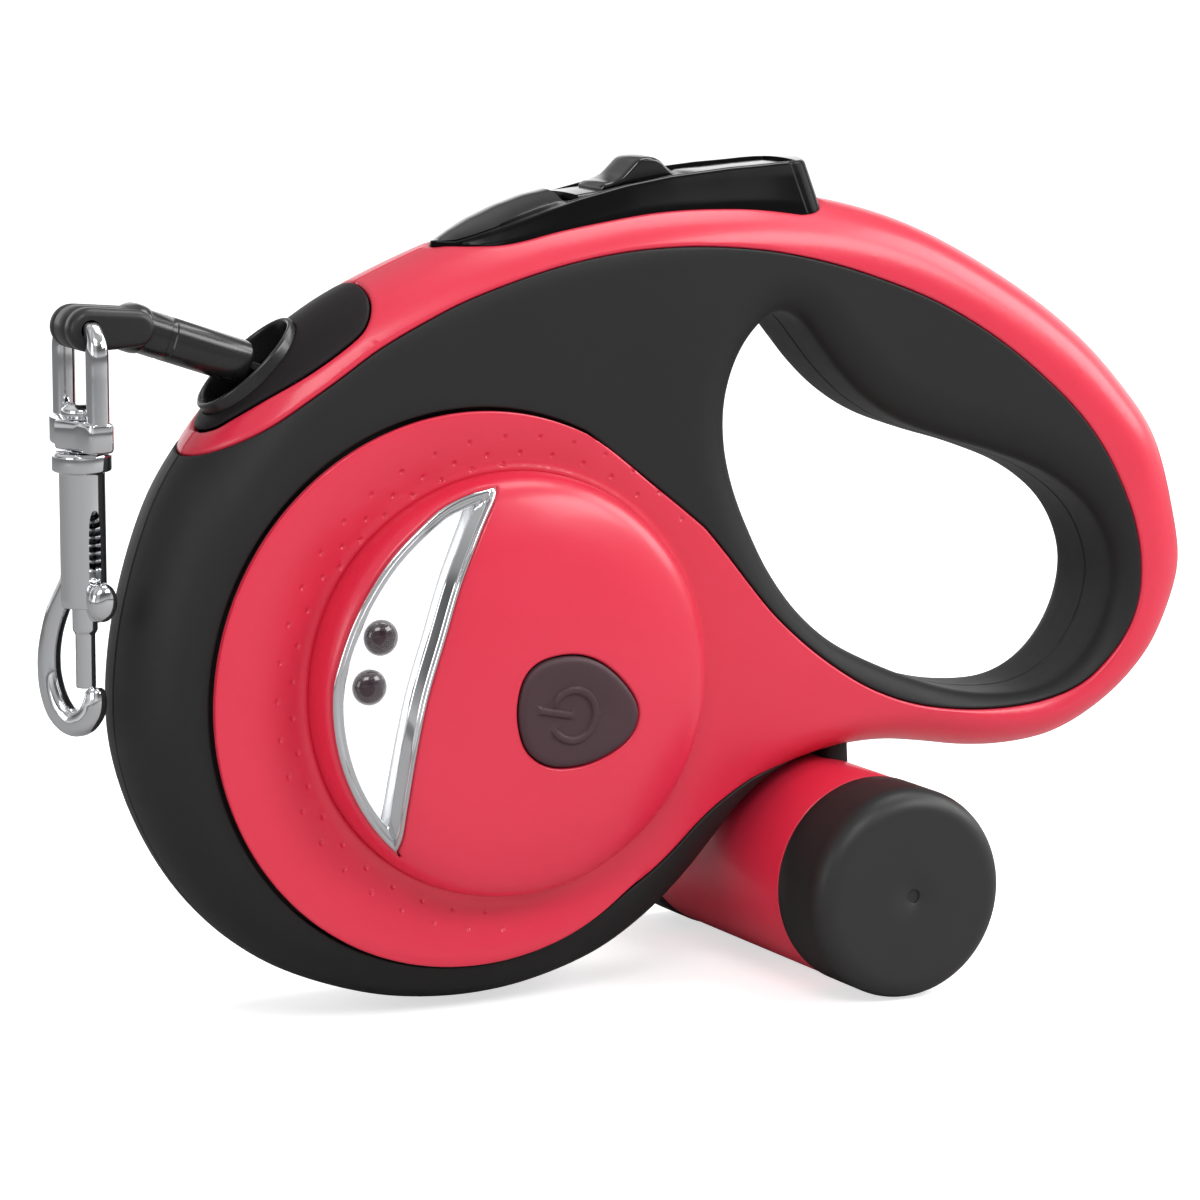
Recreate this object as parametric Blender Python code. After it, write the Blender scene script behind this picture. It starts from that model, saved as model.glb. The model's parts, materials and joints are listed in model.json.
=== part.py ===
# Retractable dog leash with a clip-on bag dispenser and a torch.
# Drawn in millimetres from the reel axis: +X towards the handle, +Z up, -Y the torch side, which is
# called near (+Y is far). Written out in metres with the origin under the middle of the footprint.
# Flat outlines are (x, z) points. "side" is -1 for near and +1 for far.
import math

import bmesh
import bpy
import numpy as np
from mathutils import Vector
from mathutils.geometry import delaunay_2d_cdt

for old in list(bpy.data.objects):
    bpy.data.objects.remove(old, do_unlink=True)

MM = 0.001
SHIFT = Vector((-42.35, 0.0, 58.30))  # reel axis to the middle of the footprint
NEAR, FAR = -1, 1
ALONG_Y, AGAINST_Y = (0, 1, 0), (0, -1, 0)
SMOOTH_ANGLE = math.radians(32)       # sharper edges are shaded sharp

# ---- casing ----
HALF_REEL = 15.0        # half thickness over the reel
HALF_GRIP = 13.0        # half thickness at the grip
THIN_X, THIN_RUN = 40, 55  # where the casing starts to thin, and over what length
SEAM = 0.1              # each half stops this short of the parting plane
EDGE_W = 11.0           # how far in from the outline the rounded edge reaches
EDGE_W_TAIL = 7.3       # the same on the slim tail under the hand opening
HOLE_R = 3.2            # rounding round the hand opening
HOLE_R_MIN = 0.8
TRIM_T = 2.0            # thickness of the red trim
TRIM_SEAT = 2.3         # depth of its seat in the shell
WALL = 4.6              # outline to cavity, trim seat included
HOLE_WALL = 1.6         # wall round the hand opening, before the rounding
GAP = 0.3               # clearance between neighbouring mouldings
PAST_SIDE = 20.0        # any y beyond the casing sides, for cutters
CASE_POINTS, HAND_POINTS = 66, 32
RINGS, HAND_RINGS = 3, 1  # steps in the roundings of the outline and the hand opening
FACE_GRID = 32.0        # spacing of the points inside the flat sides

DISC_C = (1.5, -0.6)    # centre of the round side face
DISC_R = 49.3
DOME_C = (8.5, 0.0)     # torch housing
DOME_R = 37.4
DOME_TOP = 26.4

# (name, (x, z), half thickness of the casing there)
SCREWS = [("upper_front", (-35.6, 35.8), HALF_REEL), ("lower_front", (-36.0, -36.0), HALF_REEL),
          ("lower_rear", (30.0, -45.0), HALF_REEL), ("grip_top", (103.0, 53.0), HALF_GRIP),
          ("grip_rear", (144.4, 12.0), HALF_GRIP)]
SCREW_HEAD_Y = 7.5

# ---- reel ----
REEL_C = (0, 0)
REEL_W = 7.8            # half width over the reel flanges
REEL_IN = 6.4           # half width between the flanges
HUB_R = 23.5
HUB_BORE = 21.0
NEAR_FLANGE_R = 43.0
FLANGE_R = 45.0
AXLE_R = 4.0
AXLE_BORE = 4.1
TEETH = 24
TOOTH_ROOT = 43.5
TOOTH_TIP = 46.4
COIL_R = 41.9
POST_END = 11.4         # y of the roots of the axle and pawl posts
BORE_END = 11.0         # y of the ends of their bores
PIN_END = 10.9          # y of the ends of the axle and the pawl pin
PIVOT = (47.5, 21.0)    # pawl pin
PIN_R = 1.5
PIN_BORE = 1.6

# ---- tape and outlet ----
TAPE_W = 4.9            # half width of the tape
TAPE_T = 1.1
PULL = np.array((-0.9450, 0.0, 0.3270))  # direction the tape leaves in
PULL = PULL / np.linalg.norm(PULL)
OUTLET = np.array((-30.4, 0.0, 55.5))
SLEEVE_START, SLEEVE_END = 4.6, 28.4     # along the tape line from the outlet
EYE_OUT = np.array((-0.66, 0, 0.751))    # axis of the outlet eyelet
EYE_LONG = np.array((0.751, 0, 0.66))    # its long direction
EYE_C = np.array((-34.2, 0, 56.9))
EYE_A, EYE_B = 11.0, 7.6                 # half length and half width

# ---- hook ----
BAR = (-64.8, 64.6)     # bail bar
HOOK_X, HOOK_Y = BAR[0], -1.5
BOLT_Y = HOOK_Y - 0.2
BAIL_LEG = 7.85         # half spacing of the bail legs

# ---- bag dispenser ----
TUBE_C = (75.0, -39.4)
TUBE_AT = (TUBE_C[0], 0, TUBE_C[1])
TUBE_R = 18.7
TUBE_RI = 17.3
TUBE_HALF = 26.0
CAP_R = 18.9
CAP_FACE = 42.0
SLOT_ANGLE = math.radians(-52)           # where round the tube the bags come out
SADDLE_SCREW_X, SADDLE_SCREW_Y = 79.5, 5.2

# ---- measured outlines, (x, z) ----
CASE = [
    (154.6, 9), (153.2, 21), (148.8, 34.9), (141.5, 44.8), (131.5, 54.7), (117.4, 64.7), (99.4, 74.4),
    (82.8, 80), (65, 83), (52.4, 83.7), (40.3, 83.4), (28.4, 82), (16.5, 80), (2.9, 76.4),
    (-12.1, 70.6), (-22.6, 65.2), (-33.4, 57.2), (-43.4, 46), (-51.5, 33.6), (-57.3, 16), (-59.3, -1),
    (-57.2, -15), (-51, -29), (-42.5, -40), (-32, -48.2), (-20, -53.6), (-8, -56.8), (5, -57.8),
    (17, -56.6), (29.5, -53), (39.8, -47.2), (48.4, -40), (56, -31.8), (62.5, -25.6), (70.5, -21.4),
    (80, -19.5), (90, -19.2), (99, -20.3), (108, -21.8), (117, -22.2), (126, -21), (135, -17),
    (143, -11), (149.6, -3)]
HAND = [  # hand opening
    (64.8, 60.2), (61.6, 58.6), (58.3, 54.9), (56, 50), (54.9, 44.5), (55.2, 38), (57, 31), (60, 24),
    (64, 16.5), (69.5, 9.3), (76.5, 3.2), (85, -1.4), (95, -5.6), (105, -8.6), (114.4, -9.7),
    (121.5, -9), (127.5, -6), (132, -1), (134.6, 5), (135, 11), (132.6, 17.5), (128, 23), (120.5, 28),
    (110, 32.2), (100, 35.3), (90, 39), (82.5, 43.6), (76.6, 49), (72, 54.5), (68.3, 58.8)]
BAND = [  # inner edge of the trim, from the front over the top and round the hand opening
    (-56, 37.5), (-50.6, 40.2), (-44, 43), (-35.6, 47.1), (-28.6, 51.4), (-22, 55.5), (-15.7, 59.5),
    (-7.8, 63.4), (1.5, 67.3), (13.8, 71), (24, 73.2), (35, 74.5), (47, 74.6), (60, 73.3), (72, 70.8),
    (83, 67.5), (95, 62.9), (104.5, 57.9), (112.2, 52.9), (118.5, 48), (124.5, 42.8), (129.5, 37.5),
    (133.6, 31.8), (137, 25.5), (139.7, 18.8), (141, 12), (140.7, 5), (138.3, -1), (134, -6.2),
    (128.5, -10.3), (121, -12.6), (112, -13.3), (102, -12.7), (92, -10.8), (83, -7.3), (75.5, -2.8),
    (68.5, 2.4), (62, 8.2), (56.5, 14.5), (51.6, 20.4), (46.6, 26), (41, 31.6)]
NECK = [  # the same edge from under the reel to the tail
    (37.2, -36.2), (41.6, -32.8), (46.4, -28.6), (51.7, -25), (58.5, -21.9), (65.5, -20.6),
    (72, -20.2), (78, -21.5), (82, -25)]
INSERT = [  # inner edge of the outlet insert; a straight line closes it
    (-5, 84), (-9.5, 78), (-12.6, 73.4), (-13.8, 70), (-14.8, 66.9), (-17.4, 63), (-22, 59.6),
    (-28, 55.9), (-34.5, 52.2), (-39.5, 48.9), (-42.6, 46.6), (-45.3, 45.4), (-48.6, 46.6)]
BEZEL_TOP = [
    (-3.2, 77.0), (3.4, 78.6), (10.6, 81.2), (18.4, 83.7), (28, 85.9), (40, 87.3), (52, 88.2),
    (64, 88.8), (73.2, 89.0)]
BEZEL = BEZEL_TOP + [
    (75.4, 82), (76.4, 78.8), (74, 76.0), (47, 75.8), (20, 75.6), (10, 74.6), (2, 73.6), (-2, 74.6)]
BEZEL_Y, BEZEL_Y_TOP = 9.6, 7.9          # half widths at the foot and the top
PAWL = [
    (30.2, 36.0), (31.6, 36.6), (35.0, 37.6), (45.6, 24.2), (50.0, 23.4), (38.6, 41.0), (36.4, 45.2),
    (24.4, 48.0), (24.4, 45.5), (28.6, 42.2)]
PAWL_NOSE = [(36.4, 45.2), (24.4, 48.0), (24.4, 45.5), (29.5, 42.9), (36.6, 43.4)]
CRESCENT = [  # torch window
    (3.6, 35.6), (-2.8, 34.4), (-8.8, 31.4), (-17.2, 24.2), (-23.5, 15.0), (-27.1, 5.0),
    (-28.3, -5.2), (-27.0, -13.9), (-23.4, -21.6), (-18.6, -27.0), (-16.2, -28.4), (-15.2, -24.6),
    (-15.0, -18.4), (-14.0, -9.8), (-11.9, 0.5), (-8.6, 10.6), (-5.1, 20.2), (-0.6, 28.8), (3.2, 34.0)]
POWER_SHAPE = [  # torch button
    (28.8, -5.0), (26.6, -0.6), (21.8, 3.9), (16.4, 6.0), (10.2, 5.6), (6.6, 3.2), (5.1, -1.4),
    (5.3, -6), (7.0, -10.2), (11.2, -13.0), (17.0, -13.4), (22.6, -12.0), (27.2, -9.2)]


# ---------------------------------------------------------------- outlines
def catmull(points, closed, per=10):
    """Catmull-Rom curve through the points, per steps to a span."""
    pts = np.array(points, float)
    count = len(pts)
    out = []
    for i in range(count if closed else count - 1):
        near = (i - 1, i, i + 1, i + 2)
        if closed:
            a, b, c, d = (pts[k % count] for k in near)
        else:
            a, b, c, d = (pts[min(max(k, 0), count - 1)] for k in near)
        for k in range(per):
            t = k / per
            out.append(0.5 * ((2 * b) + (c - a) * t + (2 * a - 5 * b + 4 * c - d) * t * t
                              + (3 * b - a - 3 * c + d) * t ** 3))
    if not closed:
        out.append(pts[-1])
    return np.array(out)


def even(points, count, closed=True):
    """The same line with count evenly spaced points."""
    line = np.vstack([points, points[:1]]) if closed else points
    run = np.concatenate([[0], np.cumsum(np.linalg.norm(np.diff(line, axis=0), axis=1))])
    at = np.linspace(0, run[-1], count + 1)[:-1] if closed else np.linspace(0, run[-1], count)
    return np.stack([np.interp(at, run, line[:, k]) for k in range(line.shape[1])], 1)


def ccw(points):
    pts = np.array(points, float)
    after = np.roll(pts, -1, 0)
    area = 0.5 * float((pts[:, 0] * after[:, 1] - after[:, 0] * pts[:, 1]).sum())
    return pts if area > 0 else pts[::-1].copy()


def grow(loop, distance):
    """Moves a counter-clockwise outline outwards, by one distance or one for each point."""
    distance = np.asarray(distance, float)
    along = np.roll(loop, -1, 0) - np.roll(loop, 1, 0)
    along /= np.maximum(np.linalg.norm(along, axis=1), 1e-9)[:, None]
    outward = np.stack([along[:, 1], -along[:, 0]], 1)
    return loop + outward * (distance[:, None] if distance.ndim else distance)


def shrink(loop, distance):
    """Moves a closed outline in and drops what would cross near sharp tips."""
    dense = even(loop, len(loop) * 6)
    moved = grow(dense, -distance)
    away = np.array([np.linalg.norm(dense - v, axis=1).min() for v in moved])
    return even(moved[away > distance * 0.97], len(loop))


def smooth(t):
    t = np.clip(t, 0, 1)
    return t * t * (3 - 2 * t)


def half_at(points):
    """Half thickness of the casing at each point."""
    return HALF_REEL - (HALF_REEL - HALF_GRIP) * smooth((points[:, 0] - THIN_X) / THIN_RUN)


def edge_at(points):
    """Width of the rounded edge at each point; the tail lies behind x = 45 and below z = 12."""
    tail = smooth((points[:, 0] - 45) / 30) * (1 - smooth((points[:, 1] + 10) / 22))
    return EDGE_W - (EDGE_W - EDGE_W_TAIL) * tail


def circle(centre, radius, count):
    a = np.linspace(0, 2 * math.pi, count, endpoint=False)
    return np.stack([centre[0] + radius * np.cos(a), centre[1] + radius * np.sin(a)], 1)


def trim_region():
    """Area the trim covers: its inner edge, closed by a line well outside the casing."""
    first = math.atan2(34.5 - DISC_C[1], 36.5 - DISC_C[0])
    last = math.atan2(-40.5 - DISC_C[1], 31.5 - DISC_C[0]) + 2 * math.pi
    disc = [(DISC_C[0] + DISC_R * math.cos(a), DISC_C[1] + DISC_R * math.sin(a))
            for a in np.linspace(first, last, 20)]
    inner = even(catmull(BAND + disc + NECK, False, 4), 92, False)
    count = 240
    full = even(ccw(catmull(CASE, True)), count)
    start, end = (int(np.argmin(np.linalg.norm(full - np.array(p), axis=1)))
                  for p in ((80.0, -19.5), (-50.5, 35.5)))
    order = [(start + k) % count for k in range((end - start) % count + 1)]
    return np.vstack([inner, grow(full, 6.0)[order][::9]])


CASE_LOOP = even(ccw(catmull(CASE, True)), CASE_POINTS)
HAND_LOOP = even(ccw(catmull(HAND, True)), HAND_POINTS)
TRIM_LOOP = ccw(trim_region())
INSERT_LOOP = ccw(catmull(INSERT, False, 4))
CRESCENT_LOOP = even(ccw(catmull(CRESCENT, True, 4)), 34)
POWER_LOOP = even(ccw(catmull(POWER_SHAPE, True, 4)), 24)


# ---------------------------------------------------------------- mesh tools
def to_mesh(verts, faces):
    mesh = bpy.data.meshes.new("work")
    mesh.from_pydata([tuple(float(c) for c in v) for v in verts], [],
                     [tuple(int(i) for i in f) for f in faces])
    work = bmesh.new()
    work.from_mesh(mesh)
    bmesh.ops.remove_doubles(work, verts=work.verts, dist=1e-5)
    bmesh.ops.recalc_face_normals(work, faces=work.faces)
    work.to_mesh(mesh)
    work.free()
    return mesh


def boolean(mesh_a, mesh_b, operation):
    pair = [bpy.data.objects.new("work", mesh) for mesh in (mesh_a, mesh_b)]
    for obj in pair:
        bpy.context.scene.collection.objects.link(obj)
    mod = pair[0].modifiers.new("cut", "BOOLEAN")
    mod.object = pair[1]
    mod.operation = operation
    mod.solver = "EXACT"
    bpy.context.view_layer.update()
    graph = bpy.context.evaluated_depsgraph_get()
    mesh = bpy.data.meshes.new_from_object(pair[0].evaluated_get(graph))
    for obj in pair:
        bpy.data.objects.remove(obj, do_unlink=True)
    work = bmesh.new()
    work.from_mesh(mesh)
    bmesh.ops.remove_doubles(work, verts=work.verts, dist=2e-4)
    bmesh.ops.dissolve_degenerate(work, edges=work.edges, dist=2e-4)
    work.to_mesh(mesh)
    work.free()
    return mesh


def cut(mesh, *others):
    for other in others:
        mesh = boolean(mesh, other, "DIFFERENCE")
    return mesh


def join(mesh, *others):
    for other in others:
        mesh = boolean(mesh, other, "UNION")
    return mesh


def common(mesh, other):
    return boolean(mesh, other, "INTERSECT")


def inside(points, loop):
    x, y = points[:, 0], points[:, 1]
    hit = np.zeros(len(points), bool)
    for (x0, y0), (x1, y1) in zip(loop, np.roll(loop, -1, 0)):
        crosses = (y0 > y) != (y1 > y)
        if crosses.any():
            at = (x1 - x0) * (y - y0) / (y1 - y0 + 1e-15) + x0
            hit ^= crosses & (x < at)
    return hit


def fill(loops, step=None):
    """Triangles over a region: loops[0] outside, the others holes. Returns points and triangles.

    With a step, a staggered grid of points is added inside.
    """
    pts, edges = [], []
    for loop in loops:
        base, count = len(pts), len(loop)
        pts += [tuple(p) for p in loop]
        edges += [(base + i, base + (i + 1) % count) for i in range(count)]
    if step:
        low, high = loops[0].min(0), loops[0].max(0)
        rows = enumerate(np.arange(low[1], high[1], step * 0.87))
        grid = np.array([(x + (step / 2 if row % 2 else 0), y) for row, y in rows
                         for x in np.arange(low[0], high[0], step)])
        keep = inside(grid, loops[0])
        for loop in loops[1:]:
            keep &= ~inside(grid, loop)
        border = np.array(pts)
        pts += [tuple(p) for p in grid[keep]
                if np.linalg.norm(border - p, axis=1).min() > step * 0.55]
    result = delaunay_2d_cdt([Vector(p) for p in pts], edges, [], 0, 1e-5)
    source = [ids[0] if ids else None for ids in result[3]]
    pts = np.array(pts)
    tris = []
    for face in result[2]:
        ids = [source[i] for i in face]
        if None in ids:
            raise ValueError("a loop crosses itself")
        mid = pts[ids].mean(0)[None]
        if inside(mid, loops[0])[0] and not any(inside(mid, loop)[0] for loop in loops[1:]):
            tris.append(ids)
    return pts, tris


def prism(loop, y0, y1, holes=()):
    loops = [np.array(p, float) for p in (loop, *holes)]
    pts, tris = fill(loops)
    total = len(pts)
    verts = [(p[0], y, p[1]) for y in (y0, y1) for p in pts]
    faces = tris + [[i + total for i in reversed(t)] for t in tris]
    base = 0
    for ring in loops:
        count = len(ring)
        for i in range(count):
            a, b = base + i, base + (i + 1) % count
            faces.append((a, b, total + b, total + a))
        base += count
    return to_mesh(verts, faces)


def frame_of(axis):
    along = Vector(axis).normalized()
    up = Vector((0, 0, 1))
    if abs(along.dot(up)) > 0.95:
        up = Vector((1, 0, 0))
    across = along.cross(up).normalized()
    return along, across, across.cross(along).normalized()


def lathe(profile, centre, axis, sides):
    """Closed (radius, along) profile turned about an axis through centre."""
    along, across, up = frame_of(axis)
    centre = Vector(centre)
    verts, rows = [], []
    for r, h in profile:
        if r < 1e-6:
            rows.append([len(verts)] * sides)
            verts.append(centre + along * h)
            continue
        rows.append([len(verts) + i for i in range(sides)])
        for i in range(sides):
            a = 2 * math.pi * i / sides
            verts.append(centre + along * h + across * (r * math.cos(a)) + up * (r * math.sin(a)))
    faces = []
    for k, row in enumerate(rows):
        after = rows[(k + 1) % len(rows)]
        for i in range(sides):
            j = (i + 1) % sides
            face = list(dict.fromkeys((row[i], row[j], after[j], after[i])))
            if len(face) > 2:
                faces.append(face)
    return to_mesh(verts, faces)


def rod(start, end, radius, sides, end_radius=None):
    start, end = Vector(start), Vector(end)
    length = (end - start).length
    profile = [(0, 0), (radius, 0), (end_radius or radius, length), (0, length)]
    return lathe(profile, start, end - start, sides)


def y_rod(centre, y0, y1, radius, sides):
    x, z = centre
    return rod((x, y0, z), (x, y1, z), radius, sides)


def pipe(centre, y0, y1, outer, inner, sides):
    x, z = centre
    length = y1 - y0
    profile = [(inner, 0), (outer, 0), (outer, length), (inner, length)]
    return lathe(profile, (x, y0, z), ALONG_Y, sides)


def block(low, high):
    x0, y0, z0 = low
    x1, y1, z1 = high
    verts = [(x, y, z) for z in (z0, z1) for x, y in ((x0, y0), (x1, y0), (x1, y1), (x0, y1))]
    return to_mesh(verts, [(0, 3, 2, 1), (4, 5, 6, 7), (0, 1, 5, 4), (1, 2, 6, 5), (2, 3, 7, 6),
                           (3, 0, 4, 7)])


def slab(place, start, end, half_a, half_b):
    """Rectangular bar from start to end; place(along, a, b) gives its corners."""
    corners = ((-half_a, -half_b), (half_a, -half_b), (half_a, half_b), (-half_a, half_b))
    verts = [place(along, a, b) for along in (start, end) for a, b in corners]
    return to_mesh(verts, [(0, 1, 2, 3), (7, 6, 5, 4), (0, 4, 5, 1), (1, 5, 6, 2), (2, 6, 7, 3),
                           (3, 7, 4, 0)])


def loft(ring_a, ring_b):
    """Solid between two rings with the same number of points."""
    n = len(ring_a)
    faces = [(i, (i + 1) % n, n + (i + 1) % n, n + i) for i in range(n)]
    faces += [tuple(range(n)), tuple(n + i for i in reversed(range(n)))]
    return to_mesh(ring_a + ring_b, faces)


def sweep(path, section, up):
    """A section (side, up) carried along a path of 3-D points."""
    path = [Vector(p) for p in path]
    last, n = len(path) - 1, len(section)
    verts, faces = [], []
    for i, point in enumerate(path):
        along = path[min(i + 1, last)] - path[max(i - 1, 0)]
        along.normalize()
        across = along.cross(Vector(up)).normalized()
        above = across.cross(along).normalized()
        verts += [point + across * x + above * y for x, y in section]
    for i in range(last):
        for k in range(n):
            j = (k + 1) % n
            faces.append((i * n + k, i * n + j, (i + 1) * n + j, (i + 1) * n + k))
    faces.append(tuple(range(n)))
    faces.append(tuple(last * n + k for k in reversed(range(n))))
    return to_mesh(verts, faces)


def round_section(radius, sides):
    return [(radius * math.cos(2 * math.pi * k / sides), radius * math.sin(2 * math.pi * k / sides))
            for k in range(sides)]


def helix(start, end, radius, turns, wire, per, sides):
    """Coil spring of the given wire radius, per steps to a turn."""
    start, end = Vector(start), Vector(end)
    along, across, up = frame_of(end - start)
    length = (end - start).length
    steps = turns * per
    path = []
    for i in range(steps + 1):
        a = 2 * math.pi * i / per
        path.append(start + along * (wire + (length - 2 * wire) * i / steps)
                    + across * (radius * math.cos(a)) + up * (radius * math.sin(a)))
    return sweep(path, round_section(wire, sides), tuple(along))


# ---------------------------------------------------------------- casing solid
def pillow(inset, side=0, over=0.0):
    """The casing shape moved in by inset: one half, or all of it when side is 0.

    A half stops short of the parting plane, or runs past it by over.
    """
    edge = edge_at(CASE_LOOP)
    hole_r = max(HOLE_R - inset * HOLE_R / WALL * 0.5, HOLE_R_MIN)
    hole_inset = inset * HOLE_WALL / WALL
    rings = RINGS if inset < 3 else RINGS - 1
    outer, hand = [], []  # (loop, y) from the parting plane out to the side
    for i in range(rings + 1):
        a = math.pi / 2 * i / rings
        loop = grow(CASE_LOOP, -(inset + (edge - inset) * (1 - math.cos(a))))
        outer.append((loop, (half_at(loop) - inset) * math.sin(a)))
    for i in range(HAND_RINGS + 1):
        a = math.pi / 2 * i / HAND_RINGS
        loop = grow(HAND_LOOP, hole_inset + hole_r * (1 - math.cos(a)))
        hand.append((loop, (half_at(loop) - inset) - hole_r + hole_r * math.sin(a)))
    verts, faces = [], []

    def bridge(rows):
        for row, after in zip(rows, rows[1:]):
            n = len(row)
            faces.extend((row[i], row[(i + 1) % n], after[(i + 1) % n], after[i])
                         for i in range(n))

    def put(loop, heights, sign):
        ids = list(range(len(verts), len(verts) + len(loop)))
        heights = np.broadcast_to(np.asarray(heights, float), (len(loop),))
        verts.extend((p[0], sign * y, p[1]) for p, y in zip(loop, heights))
        return ids

    def side_surface(sign):
        outer_rows = [put(loop, y, sign) for loop, y in outer[1:]]
        hand_rows = [put(loop, y, sign) for loop, y in hand]
        bridge(outer_rows)
        bridge(hand_rows)
        rim_loops = [outer[-1][0], hand[-1][0]]
        pts, tris = fill(rim_loops, FACE_GRID)
        extra = pts[len(rim_loops[0]) + len(rim_loops[1]):]
        ids = outer_rows[-1] + hand_rows[-1] + put(extra, half_at(extra) - inset, sign)
        faces.extend([ids[i] for i in t] for t in tris)
        return outer_rows[0], hand_rows[0]

    outline, opening = outer[0][0], hand[0][0]
    if side == 0:
        near_outer, near_hand = side_surface(NEAR)
        far_outer, far_hand = side_surface(FAR)
        bridge([near_outer, put(outline, 0.0, 1), far_outer])
        bridge([near_hand, far_hand])
        return to_mesh(verts, faces)
    side_outer, side_hand = side_surface(side)
    base = -over if over else SEAM
    base_outer = put(outline, base, side)
    base_hand = put(opening, base, side)
    middle = [put(outline, 0.0, side)] if over else []
    bridge([base_outer, *middle, side_outer])
    bridge([base_hand, side_hand])
    _, tris = fill([outline, opening])
    ids = base_outer + base_hand
    faces.extend([ids[i] for i in t] for t in tris)
    return to_mesh(verts, faces)


# ---------------------------------------------------------------- materials and nodes
# name: (linear base colour, roughness, metallic)
FINISHES = {
    "red_plastic": ((0.62, 0.035, 0.07), 0.38, 0.0),
    "black_plastic": ((0.028, 0.028, 0.029), 0.55, 0.0),
    "gloss_black": ((0.012, 0.012, 0.013), 0.16, 0.0),
    "insert_black": ((0.021, 0.015, 0.018), 0.45, 0.0),
    "button_rubber": ((0.06, 0.028, 0.032), 0.7, 0.0),
    "chrome": ((0.78, 0.79, 0.8), 0.08, 1.0),
    "steel": ((0.42, 0.42, 0.43), 0.35, 1.0),
    "clear_lens": ((0.9, 0.92, 0.94), 0.05, 0.0),
    "reflector": ((0.85, 0.86, 0.87), 0.12, 1.0),
    "led_dark": ((0.03, 0.015, 0.02), 0.12, 0.0),
    "reel_plastic": ((0.2, 0.2, 0.21), 0.5, 0.0),
    "tape_nylon": ((0.012, 0.012, 0.013), 0.85, 0.0),
    "board_green": ((0.01, 0.11, 0.04), 0.45, 0.0),
    "bag_film": ((0.03, 0.035, 0.04), 0.5, 0.0),
    "card_core": ((0.42, 0.3, 0.18), 0.9, 0.0),
}


def material(owner, finish):
    colour, roughness, metallic = FINISHES[finish]
    mat = bpy.data.materials.new(owner + "_" + finish)
    mat.use_nodes = True
    inputs = mat.node_tree.nodes["Principled BSDF"].inputs
    inputs["Base Color"].default_value = (*colour, 1)
    inputs["Roughness"].default_value = roughness
    inputs["Metallic"].default_value = metallic
    mat.diffuse_color = (*colour, 1)
    return mat


def place(obj, at, parent):
    """Links an object with its origin at a point in drawing millimetres."""
    bpy.context.scene.collection.objects.link(obj)
    obj.parent = parent
    offset = -Vector(parent["at"]) if parent else SHIFT
    obj.location = (Vector(at) + offset) * MM


def joint(name, at, parent=None):
    """Empty that a moving part turns or slides on; it keeps its drawing position in "at"."""
    empty = bpy.data.objects.new(name, None)
    empty["at"] = [float(c) for c in at]
    empty.empty_display_size = 0.01
    place(empty, at, parent)
    return empty


def add(name, mesh, finish, parent=None, origin=None, tidy=0.0):
    """Makes a named object from a mesh in drawing millimetres, its origin on its joint by default.

    tidy is the angle in degrees below which neighbouring faces are merged first.
    """
    if origin is None:
        origin = parent["at"] if parent else (0, 0, 0)
    work = bmesh.new()
    work.from_mesh(mesh)
    bmesh.ops.remove_doubles(work, verts=work.verts, dist=2e-4)
    if tidy:
        bmesh.ops.dissolve_limit(work, angle_limit=math.radians(tidy), verts=work.verts,
                                 edges=work.edges)
    bmesh.ops.triangulate(work, faces=work.faces)
    bmesh.ops.dissolve_degenerate(work, edges=work.edges, dist=1e-3)
    bmesh.ops.recalc_face_normals(work, faces=work.faces)
    bmesh.ops.translate(work, verts=work.verts, vec=-Vector(origin))
    bmesh.ops.scale(work, verts=work.verts, vec=(MM, MM, MM))
    out = bpy.data.meshes.new(name)
    work.to_mesh(out)
    work.free()
    out.polygons.foreach_set("use_smooth", [True] * len(out.polygons))
    out.set_sharp_from_angle(angle=SMOOTH_ANGLE)
    obj = bpy.data.objects.new(name, out)
    obj.data.materials.append(material(name, finish))
    place(obj, origin, parent)


LEASH_JOINT = joint("leash_pull_joint", OUTLET)
REEL_JOINT = joint("reel_spin_joint", (0, 0, 0))
BRAKE_JOINT = joint("brake_press_joint", (50, 0, 86))
PAWL_JOINT = joint("pawl_joint", (PIVOT[0], 0, PIVOT[1]))
LOCK_JOINT = joint("lock_slide_joint", (40, 0, 86), BRAKE_JOINT)
POWER_JOINT = joint("power_press_joint", (16, -25, -4))
BAIL_JOINT = joint("bail_swing_joint", (HOOK_X, HOOK_Y, BAR[1]), LEASH_JOINT)
HOOK_JOINT = joint("hook_swivel_joint", (HOOK_X, HOOK_Y, 42), BAIL_JOINT)
BOLT_JOINT = joint("bolt_slide_joint", (HOOK_X, HOOK_Y, 20), HOOK_JOINT)
ROLL_JOINT = joint("bag_roll_joint", TUBE_AT)
CAP_JOINT = joint("near_cap_joint", (TUBE_C[0], -30, TUBE_C[1]))


# ---------------------------------------------------------------- casing
def on_tape(along, y=0.0, above=0.0):
    """Point on the tape line, measured from the outlet."""
    up = np.array((PULL[2], 0, -PULL[0]))
    p = OUTLET + PULL * along + up * above
    return (p[0], y, p[2])


def eye_oval(half_long, half_wide, low, high):
    """Oval plug on the eyelet axis."""
    rings = []
    for h in (low, high):
        angles = [2 * math.pi * i / 28 for i in range(28)]
        rings.append([EYE_C + EYE_OUT * h + EYE_LONG * (half_long * math.cos(a))
                      + np.array((0, half_wide * math.sin(a), 0)) for a in angles])
    return loft(*rings)


def saddle_screw_bore(y, top, radius):
    return rod((SADDLE_SCREW_X, y, -30), (SADDLE_SCREW_X, y, top), radius, 12)


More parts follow.
